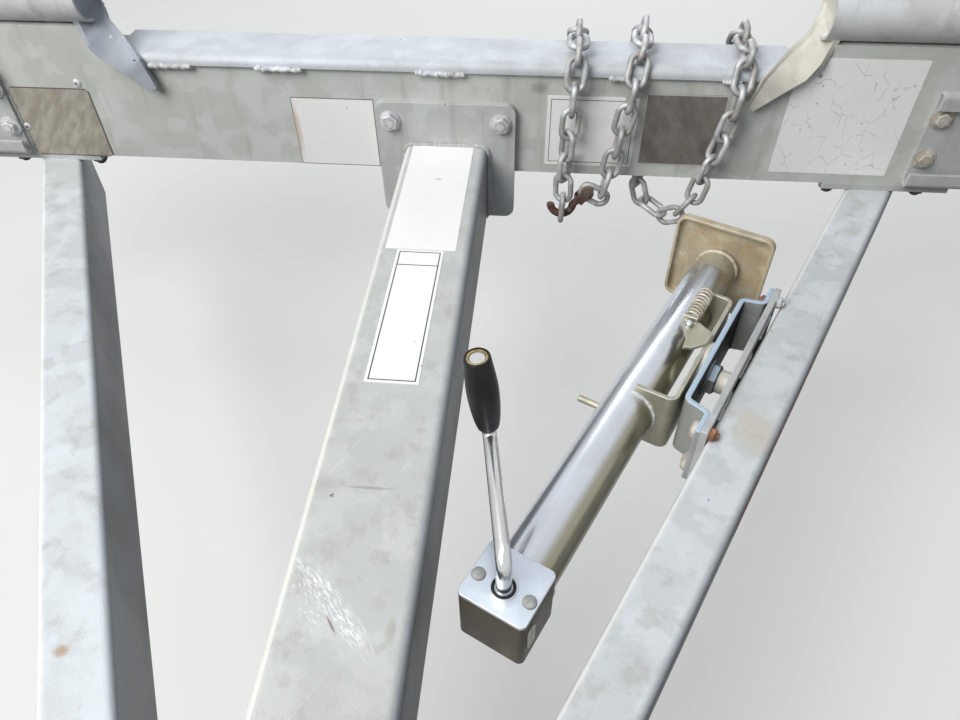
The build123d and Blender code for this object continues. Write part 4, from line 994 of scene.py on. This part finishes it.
# The nut wears the hat's finish, so its face towards jackAcross takes that finish's near-black painted shade
swivelNut = {"x": 50.9, "spin": 0.4,
             "sizes": {"Washer": 0.0190, "Washer Height": 0.0020, "Head": 0.0165, "Height": 0.0080,
                       "Stud": 0.0118, "Stud Height": 0.0060}}
growBolts("swivelNut", [placeFacing(inJack(swivelNut["x"], 0, 0), jackAcross, swivelNut["spin"])], "hatZinc",
          swivelNut["sizes"])

# Rivets: the face plate's blind ones, and the domed ones on the jack's cover and lock plate
faceRivets = {"places": ((-0.4576, 0.032), (-0.5495, -0.0284)),
              "sizes": {"Radius": 0.0052, "Height": 0.0024}}
growBolts("faceRivets", [placeFacing((x, beamFace, z), front) for x, z in faceRivets["places"]], "boltZinc",
          faceRivets["sizes"], "blindRivet")
coverRivets = {"x": 21.7, "y": -314, "z": 31.4, "sizes": {"Radius": 0.0056, "Height": 0.0030}}
growBolts("coverRivets", [
    placeFacing(inJack(side * coverRivets["x"], coverRivets["y"], coverRivets["z"]), (0, 0, 1))
    for side in (-1, 1)], "rivetGrey", coverRivets["sizes"], "roundHead", "jack")
lockPin = {"place": (16, 20, 37.2), "sizes": {"Radius": 0.0044, "Height": 0.0052}}
growBolts("lockPin", [placeFacing(inJack(*lockPin["place"]), (0, 0, 1))], "jackZinc", lockPin["sizes"],
          treeName="roundHead", body="jack")
print("bolts and rivets placed")


# Lock spring as a real coil, standing for the plain sleeve
springLook = {"start": (14.5, 30.0, 35.6),
              "sizes": {"Radius": 0.0072, "Wire": 0.0023, "Length": 0.0495, "Turns": 9.5}}
springPlace = placeFacing(inJack(*springLook["start"]), jackAlong)
growPiece("springWire", placesMesh("springWire", [springPlace]), "springCoil", "jack",
          "springSteel", springLook["sizes"], ["lock_spring"])


# Chains: one smooth link where each of the frame's links lies
def looseParts(node):
    work = bmesh.new()
    work.from_mesh(node.data)
    bmesh.ops.remove_doubles(work, verts=work.verts, dist=1e-6)
    seen, found = set(), []
    for start in work.verts:
        if start in seen:
            continue
        seen.add(start)
        waiting, part = [start], []
        while waiting:
            corner = waiting.pop()
            part.append(tuple(corner.co))
            for edge in corner.link_edges:
                other = edge.other_vert(corner)
                if other not in seen:
                    seen.add(other)
                    waiting.append(other)
        found.append(part)
    work.free()
    return found


def linkPlace(corners):
    cloud = numpy.array(corners)
    middle = cloud.mean(axis=0)
    axes = numpy.linalg.eigh(numpy.cov((cloud - middle).T))[1]
    along, across = Vector(axes[:, 2]), Vector(axes[:, 1])
    turned = Matrix((along, across, along.cross(across))).transposed().to_4x4()
    return Matrix.Translation(middle) @ turned


linkSizes = {"Length": 0.043, "Width": 0.0265, "Wire": 0.007}
for name, pieceName in (("safety_chain_front", "frontChainLinks"), ("safety_chain_side", "sideChainLinks")):
    places = [linkPlace(part) for part in looseParts(nodes[name])]
    growPiece(pieceName, placesMesh(pieceName, places), "chainLink", "frame", "chainSteel",
              linkSizes, [name])
    print(pieceName, len(places), "links")


# Weld beads along the joints that show
def arcPath(centre, across, up, radius, fromTurn, toTurn, count=24):
    turns = [math.radians(fromTurn + (toTurn - fromTurn) * k / count) for k in range(count + 1)]
    return [Vector(centre) + (Vector(across) * math.cos(turn) + Vector(up) * math.sin(turn)) * radius
            for turn in turns]


def wavyLine(start, end, swing, count=12):
    start, end = Vector(start), Vector(end)
    return [start.lerp(end, k / count) + Vector((0, 0, swing * math.sin(2.3 * k))) for k in range(count + 1)]


def tubeOutline(y, half, middle, corner):
    reach = half - corner
    outline = []
    for sideX, sideZ, start in ((1, 1, 0), (-1, 1, 90), (-1, -1, 180), (1, -1, 270)):
        centre = (sideX * reach, y, middle + sideZ * reach)
        outline += arcPath(centre, (1, 0, 0), (0, 0, 1), corner, start, start + 90, 5)
    return outline + outline[:1]


def growWeld(name, paths, finish, sizes, body="frame"):
    growPiece(name, pathsMesh(name, paths), "weldBead", body, finish, sizes)


seamWelds = {"stretches": ((-0.353, -0.304), (-0.223, -0.170), (-0.031, 0.023), (0.192, 0.226),
                           (0.319, 0.337)),
             "y": -0.0738, "z": (0.0592, 0.0588), "swing": 0.0009, "sizes": {"Width": 0.0060, "Pitch": 0.0024}}
growWeld("seamWelds", [
    wavyLine((start, seamWelds["y"], seamWelds["z"][0]), (end, seamWelds["y"], seamWelds["z"][1]),
             seamWelds["swing"]) for start, end in seamWelds["stretches"]],
         "weldBright", seamWelds["sizes"])

flangeWeld = {"ahead": 0.0108, "out": 0.0016, "middle": 0.0518, "corner": 0.010,
              "sizes": {"Width": 0.0058, "Pitch": 0.0027}}
growWeld("flangeWeld", [
    tubeOutline(beamFace - flangeWeld["ahead"], tongueLook["half"] + flangeWeld["out"],
                tongueLook["top"] - flangeWeld["middle"], flangeWeld["corner"])],
         "weldGalvanised", flangeWeld["sizes"])

baseWelds = {"starts": (-70, -10, 52), "long": 34, "x": (79.4, 79.0), "z": 25.6, "swing": 0.0004,
             "sizes": {"Width": 0.0048, "Pitch": 0.0028}}
growWeld("baseWelds", [
    wavyLine(inJack(baseWelds["x"][0], start, baseWelds["z"]),
             inJack(baseWelds["x"][1], start + baseWelds["long"], baseWelds["z"]), baseWelds["swing"])
    for start in baseWelds["starts"]], "weldGalvanised", baseWelds["sizes"])

eyeWelds = {"start": (0.2355, -0.0375, -0.0673), "end": (0.2520, -0.0487, -0.0673), "swing": 0.0003,
            "count": 8, "sizes": {"Width": 0.0050, "Pitch": 0.0026}}
growWeld("eyeWelds", [wavyLine(eyeWelds["start"], eyeWelds["end"], eyeWelds["swing"], eyeWelds["count"])],
         "weldGalvanised", eyeWelds["sizes"])

# Rings round the jack's tube and leg: place along it (mm), radius, first and last turn, edges
jackWelds = {"rings": ((-80.6, 0.0262, 86, -60, 24), (85.4, 0.0262, 66, -60, 24),
                       (-282.4, 0.0260, 0, 360, 40)),
             "sizes": {"Width": 0.0040, "Pitch": 0.0024}}
footWeld = {"rings": ((170.6, 0.0230, 0, 360, 40),), "sizes": {"Width": 0.0046, "Pitch": 0.0026}}
for name, look, finish, slotName, body in (
        ("jackWelds", jackWelds, "weldBright", "zinc_plate", "jack"),
        ("footWeld", footWeld, "footZinc", "zinc_yellow", "jack_leg")):
    paths = [arcPath(inJack(0, along, 0), jackAcross, (0, 0, 1), *ring) for along, *ring in look["rings"]]
    growWeld(name, paths, finish, look["sizes"], body)
print("welds laid")


# Turned pieces: rows of height and radius in millimetres, swept round the Z axis of a place
def turnedMesh(name, rows, place, sides=48, seam=0.0):
    work = bmesh.new()
    rings = []
    for height, radius in rows:
        ring = []
        for k in range(sides):
            turn = 2 * math.pi * k / sides
            reach = (radius + (seam if k % (sides // 2) == 0 else 0.0)) / 1000
            ring.append(work.verts.new(place @ Vector((reach * math.cos(turn), reach * math.sin(turn),
                                                       height / 1000))))
        rings.append(ring)
    for below, above in zip(rings, rings[1:]):
        for k in range(sides):
            work.faces.new((below[k], below[(k + 1) % sides], above[(k + 1) % sides], above[k]))
    mesh = bpy.data.meshes.new(name)
    work.to_mesh(mesh)
    work.free()
    return mesh


def turnedPiece(name, rows, place, body, finish, replaced=(), seam=0.0):
    mesh = turnedMesh(name, rows, place, seam=seam)
    mesh.materials.append(materials[finish])
    settle(newPiece(name, mesh), body, replaced)


crankLook = {"reach": 119.0, "turn": 36.0, "rise": 64.0, "centre": -314.0, "lean": 6.0}
crankTurn = math.radians(crankLook["turn"])
armEnd = inJack(-crankLook["reach"] * math.sin(crankTurn),
                crankLook["centre"] + crankLook["reach"] * math.cos(crankTurn), crankLook["rise"])
gripLean = math.radians(crankLook["lean"])
gripPlace = placeFacing(armEnd, (-math.sin(gripLean), 0, math.cos(gripLean)))
gripRows = {"start": 8.5, "length": 80.0, "steps": 28, "bore": 6.2,
            "shares": (0.0, 0.04, 0.12, 0.32, 0.58, 0.8, 0.93, 1.0),
            "radii": (8.0, 9.4, 10.6, 12.3, 13.0, 11.7, 10.7, 10.2), "mouth": 7.2, "seam": 0.12,
            "rim": ((0.6, 10.1), (0.0, 9.5), (0.0, 8.9), (1.6, 8.6))}
ringRows = [(86.9, 6.15), (86.9, 8.55), (87.7, 8.45), (88.0, 7.9), (87.8, 6.6), (86.9, 6.15)]
grommetRows = [(31.5, 9.7), (33.0, 9.5), (34.2, 9.0), (34.4, 8.3), (33.8, 7.4), (32.8, 6.9), (31.5, 6.7)]


def gripOutline(look):
    shares = numpy.linspace(0, 1, look["steps"])
    radii = numpy.interp(shares, look["shares"], look["radii"])
    padded = numpy.concatenate(([radii[0]] * 2, radii, [radii[-1]] * 2))
    smoothed = numpy.convolve(padded, numpy.ones(5) / 5, "valid")
    side = [(look["start"] + share * look["length"], radius) for share, radius in zip(shares, smoothed)]
    low, high = look["start"], look["start"] + look["length"]
    rim = [(high - depth, radius) for depth, radius in look["rim"]]
    return [(low, look["bore"]), (low, look["mouth"]), *side[1:-1], *rim, (rim[-1][0], look["bore"])]


turnedPiece("gripMoulding", gripOutline(gripRows), gripPlace, "crank", "gripPlastic", ["crank_grip"],
            gripRows["seam"])
turnedPiece("gripRing", ringRows, gripPlace, "crank", "ringBrass")
crankPlace = jackPlace @ Matrix.Translation((0, crankLook["centre"] / 1000, 0))
turnedPiece("crankGrommet", grommetRows, crankPlace, "jack", "gripPlastic")
print("grip and grommet turned")


# Gussets: one sheet on each side that twists from the track's end over the cap and down on to the face.
# Each row is its outer edge and its inner edge, in metres on the left side
gussetLook = {
    "rows": [((0.4260, -0.0560, 0.1500), (0.4260, -0.0020, 0.1500)),
             ((0.4260, -0.0680, 0.1180), (0.4250, -0.0040, 0.1250)),
             ((0.4250, -0.0680, 0.1035), (0.4200, -0.0160, 0.1160)),
             ((0.4150, -0.0805, 0.0850), (0.4050, -0.0420, 0.1040)),
             ((0.4045, -0.0815, 0.0672), (0.3830, -0.0570, 0.0890)),
             ((0.3836, -0.0815, 0.0510), (0.3590, -0.0795, 0.0690)),
             ((0.3570, -0.0800, 0.0285), (0.3490, -0.0795, 0.0345))],
    "between": 5, "thick": 0.007,
    "across": ((0.0, 0.0), (0.3, 0.0), (0.6, 0.0), (0.86, 0.0), (0.9, 0.0012), (1.0, 0.0022)),
}


def gussetMesh(name, look, side):
    mirror = Vector((side, 1, 1))
    lines = []
    for (startOut, startIn), (endOut, endIn) in zip(look["rows"], look["rows"][1:]):
        for k in range(look["between"]):
            share = k / look["between"]
            lines.append((Vector(startOut).lerp(Vector(endOut), share),
                          Vector(startIn).lerp(Vector(endIn), share)))
    lines.append(tuple(Vector(corner) for corner in look["rows"][-1]))
    work = bmesh.new()
    grids = ([], [])
    for k, (outer, inner) in enumerate(lines):
        down = lines[min(k + 1, len(lines) - 1)][0] - lines[max(k - 1, 0)][0]
        outward = (inner - outer).cross(down).normalized()
        for grid, depth in zip(grids, (0.0, look["thick"])):
            grid.append([work.verts.new((outer.lerp(inner, share) + outward * (lift - depth)) * mirror)
                         for share, lift in look["across"]])
    top, low = grids
    last = len(look["across"]) - 1
    for k in range(len(lines) - 1):
        for m in range(last):
            work.faces.new((top[k][m], top[k + 1][m], top[k + 1][m + 1], top[k][m + 1]))
            work.faces.new((low[k][m], low[k][m + 1], low[k + 1][m + 1], low[k + 1][m]))
        work.faces.new((top[k][0], low[k][0], low[k + 1][0], top[k + 1][0]))
        work.faces.new((top[k][last], top[k + 1][last], low[k + 1][last], low[k][last]))
    for m in range(last):
        work.faces.new((top[0][m], top[0][m + 1], low[0][m + 1], low[0][m]))
        work.faces.new((top[-1][m], low[-1][m], low[-1][m + 1], top[-1][m + 1]))
    bmesh.ops.recalc_face_normals(work, faces=work.faces)
    mesh = bpy.data.meshes.new(name)
    work.to_mesh(mesh)
    work.free()
    return mesh


for name, side, node, finish in (("gussetSheetLeft", 1, "gusset_left", "gussetPaintedLightCream"),
                                 ("gussetSheetRight", -1, "gusset_right", "gussetPaintedShadeBlue")):
    mesh = gussetMesh(name, gussetLook, side)
    mesh.materials.append(materials[finish])
    settle(newPiece(name, mesh), "frame", [node], sharpAngle=24.0)
print("gusset sheets bent")


# Signs, stickers and foils: thin sheets with rounded corners, all blank
def sheetMesh(name, width, height, corner, thickness, place, cut=None):
    outline = []
    for sideX, sideY, start in ((1, 1, 0), (-1, 1, 90), (-1, -1, 180), (1, -1, 270)):
        if cut and (sideX, sideY) == (-1, 1):
            outline += [Vector((cut[0] - width / 2, height / 2, thickness)),
                        Vector((-width / 2, height / 2 - cut[1], thickness))]
            continue
        centre = (sideX * (width / 2 - corner), sideY * (height / 2 - corner), thickness)
        outline += arcPath(centre, (1, 0, 0), (0, 1, 0), corner, start, start + 90, 4)
    work = bmesh.new()
    top = [work.verts.new(place @ point) for point in outline]
    low = [work.verts.new(place @ (point - Vector((0, 0, thickness)))) for point in outline]
    work.faces.new(top)
    for k, corner in enumerate(top):
        after = (k + 1) % len(top)
        work.faces.new((low[k], low[after], top[after], corner))
    mesh = bpy.data.meshes.new(name)
    work.to_mesh(mesh)
    work.free()
    return mesh


# Cracks in an aged label
crackLook = {"cells": 52.0, "stretch": (1.0, 1.0, 0.6), "wide": 0.011, "ruffle": 60.0, "push": 0.008,
             "gaps": 45.0, "shade": (0.36, 0.36, 0.35)}


def panelMaterial(name, place, look):
    material, tree, shader, vector = newMaterial(name)
    across, up = place.col[0].to_3d(), place.col[1].to_3d()
    inset = useGroup(tree, "panelInset", Vector=vector, Centre=place.translation, Across=across, Up=up,
                     **{"Half Width": look["size"][0] / 2, "Half Height": look["size"][1] / 2})
    leant = turnedVector(tree, vector, look["patchLean"], "Y_AXIS")
    patches = useGroup(tree, "grimePatches", Vector=leant, Size=look["patchSize"],
                       Stretch=look["patchStretch"], Cover=look["patchCover"], Edge=look["patchEdge"])
    colour = tintBy(tree, patches["Mask"], look["patchDepth"], look["paper"], look["dirt"])
    if look["crackDepth"]:
        ruffle = vectorNode(tree, "SCALE", noiseVector(tree, vector, crackLook["ruffle"]), crackLook["push"])
        wander = vectorNode(tree, "ADD", vector, ruffle)
        cells = addNode(tree, "ShaderNodeTexVoronoi", feature="DISTANCE_TO_EDGE")
        cells.inputs["Scale"].default_value = crackLook["cells"]
        feed(tree, cells.inputs["Vector"], vectorNode(tree, "MULTIPLY", wander, crackLook["stretch"]))
        crack = mathNode(tree, "LESS_THAN", cells.outputs["Distance"], crackLook["wide"])
        broken = rangeNode(tree, noiseNode(tree, vector, crackLook["gaps"]), 0.42, 0.56)
        cracked = mathNode(tree, "MULTIPLY", crack, broken)
        colour = tintBy(tree, cracked, look["crackDepth"], colour, crackLook["shade"])
    speck = useGroup(tree, "scatteredSpecks", Vector=vector, Spacing=look["speckSpacing"],
                     Radius=look["speckRadius"], Share=look["speckShare"])
    colour = tintBy(tree, speck["Mask"], look["speckDepth"], colour, look["speck"])
    for low, high, shade in look["lines"]:
        above = mathNode(tree, "GREATER_THAN", inset["Inset"], low)
        line = mathNode(tree, "MULTIPLY", above, mathNode(tree, "LESS_THAN", inset["Inset"], high))
        colour = mixColour(tree, line, colour, shade)
    if look["divider"] is not None:
        away = mathNode(tree, "ABSOLUTE", mathNode(tree, "SUBTRACT", inset["Height"], look["divider"]))
        inside = mathNode(tree, "GREATER_THAN", inset["Inset"], look["lines"][0][0])
        thin = mathNode(tree, "LESS_THAN", away, look["dividerHalf"])
        colour = tintBy(tree, thin, inside, colour, (0.02, 0.02, 0.02))
    for centre, spread, shade, depth in look["marks"]:
        mark = useGroup(tree, "singleMark", Vector=vector, Centre=centre, Spread=spread)
        colour = tintBy(tree, mark["Mask"], depth, colour, shade)
    feed(tree, shader.inputs["Base Color"], colour)
    feed(tree, shader.inputs["Roughness"], rangeNode(tree, patches["Mask"], 0.0, 1.0, *look["rough"]))
    shader.inputs["Metallic"].default_value = look["metal"]
    raised = mathNode(tree, "ADD", patches["Mask"], noiseNode(tree, vector, look["grain"]))
    addBump(tree, shader, raised, look["bump"], look["bumpStrength"])
    return material


ink = (0.02, 0.02, 0.022)
paperBasis = {
    "paper": (0.97, 0.97, 0.965), "dirt": (0.72, 0.71, 0.67),
    "patchSize": 0.05, "patchDepth": 0.12, "patchStretch": (1.0, 1.0, 1.0), "patchLean": 0.0,
    "patchCover": 0.55, "patchEdge": 0.2, "crackDepth": 0.0,
    "speck": (0.12, 0.11, 0.10), "speckSpacing": 0.011, "speckRadius": 0.1, "speckShare": 0.1,
    "speckDepth": 0.7,
    "lines": [], "divider": None, "dividerHalf": 0.0006, "marks": [],
    "rough": (0.3, 0.45), "metal": 0.0, "grain": 220.0, "bump": 0.0004, "bumpStrength": 0.4,
    "corner": 0.001, "cut": None, "thick": 0.0005,
}
foilBasis = {
    **paperBasis, "paper": (0.46, 0.43, 0.37), "dirt": (0.26, 0.23, 0.19),
    "patchSize": 0.010, "patchDepth": 0.75, "patchStretch": (1.0, 1.0, 0.34), "patchLean": -0.6,
    "rough": (0.34, 0.5), "metal": 0.1, "lines": [(0.0, 0.0012, (0.10, 0.09, 0.08))],
    "corner": 0.006, "thick": 0.0008, "speckShare": 0.2,
}
# On the beam's face: name, left and right edge, low and high edge (metres), look
frontSheets = [
    ("numberSign", (-0.191, -0.088), (-0.067, 0.023),
     {**paperBasis, "lines": [(0.0, 0.0011, (0.22, 0.20, 0.18))],
      "marks": [((-0.189, beamFace, -0.02), (0.008, 0.02, 0.05), (0.45, 0.28, 0.15), 0.5)]}),
    ("warningSign", (0.122, 0.229), (-0.055, 0.035),
     {**paperBasis, "lines": [(0.0042, 0.0050, ink)], "patchDepth": 0.25, "speckShare": 0.2}),
    ("speedSign", (0.397, 0.535), (-0.054, 0.087),
     {**paperBasis, "crackDepth": 0.55, "speckShare": 0.3, "cut": (0.0205, 0.0315),
      "marks": [((0.4229, beamFace, 0.067), (0.0042, 0.02, 0.0042), (0.22, 0.23, 0.24), 0.95)]}),
    ("foilPlateOne", (-0.553, -0.447), (-0.068, 0.025), foilBasis),
    ("foilPlateTwo", (0.236, 0.330), (-0.050, 0.041),
     {**foilBasis, "paper": (0.24, 0.22, 0.20), "dirt": (0.11, 0.095, 0.08), "speckShare": 0.5,
      "patchSize": 0.018, "patchStretch": (1.0, 1.0, 0.6), "patchLean": 0.5,
      "lines": [(0.0, 0.0016, (0.55, 0.55, 0.53))]}),
]


def makeSheet(name, width, height, place, look):
    settings = {**look, "size": (width, height)}
    mesh = sheetMesh(name, width, height, look["corner"], look["thick"], place, look["cut"])
    mesh.materials.append(panelMaterial(name, place, settings))
    settle(newPiece(name, mesh), "frame", sharpAngle=30.0)


for name, (left, right), (low, high), look in frontSheets:
    place = placeFacing(((left + right) / 2, beamFace, (low + high) / 2), front)
    makeSheet(name, right - left, high - low, place, look)

# On the tongue, in metres: start and end along the tube, half the width, shift to the side
tongueSheets = [("instructionSticker", 0.000, -0.208, 0.0375, -0.003,
                 {**paperBasis, "patchDepth": 0.15,
                  "marks": [((0.0, -0.15, -0.033), (0.006, 0.003, 0.02), (0.4, 0.4, 0.4), 0.6)]}),
                ("storageSticker", -0.2095, -0.3935, 0.0248, -0.0025,
                 {**paperBasis, "lines": [(0.0028, 0.0040, ink)], "divider": 0.068,
                  "patchDepth": 0.12})]
for name, start, end, half, shift, look in tongueSheets:
    middle = Vector((shift, (start + end) / 2, tongueLook["half"]))
    makeSheet(name, 2 * half, start - end, tonguePlace @ Matrix.Translation(middle), look)


def plainSheet(name, look, place, finish, body):
    mesh = sheetMesh(name, look["wide"], look["high"], look["corner"], look["thick"], place)
    mesh.materials.append(materials[finish])
    settle(newPiece(name, mesh), body)


# Red tape along the left rail's outer side (metres in the rail's frame: along it, and its height)
tapeLook = {"railOffset": 0.524, "railTurn": -27.7, "side": 0.0254, "middle": -0.41, "top": -0.086,
            "wide": 0.22, "high": 0.05, "corner": 0.001, "thick": 0.0005}
railPlace = (Matrix.Translation((tapeLook["railOffset"], beamFace, 0))
             @ Matrix.Rotation(math.radians(tapeLook["railTurn"]), 4, "Z"))
tapeMiddle = (tapeLook["side"], tapeLook["middle"], tapeLook["top"] - tapeLook["high"] / 2)
tapeTurn = Matrix.Rotation(math.radians(90), 4, "Z") @ Matrix.Rotation(math.radians(90), 4, "X")
plainSheet("railTape", tapeLook, railPlace @ Matrix.Translation(tapeMiddle) @ tapeTurn, "tapeRed", "frame")

# Small folded tab on the outer side of the jack's head (metres; place in the jack frame in mm)
tabLook = {"wide": 0.010, "high": 0.024, "corner": 0.002, "thick": 0.0016, "place": (28.4, -323.5, 3.0)}
plainSheet("headTab", tabLook, placeFacing(inJack(*tabLook["place"]), jackAcross), "lockZinc", "jack")
print("signs, stickers and foils:", len(frontSheets) + len(tongueSheets))
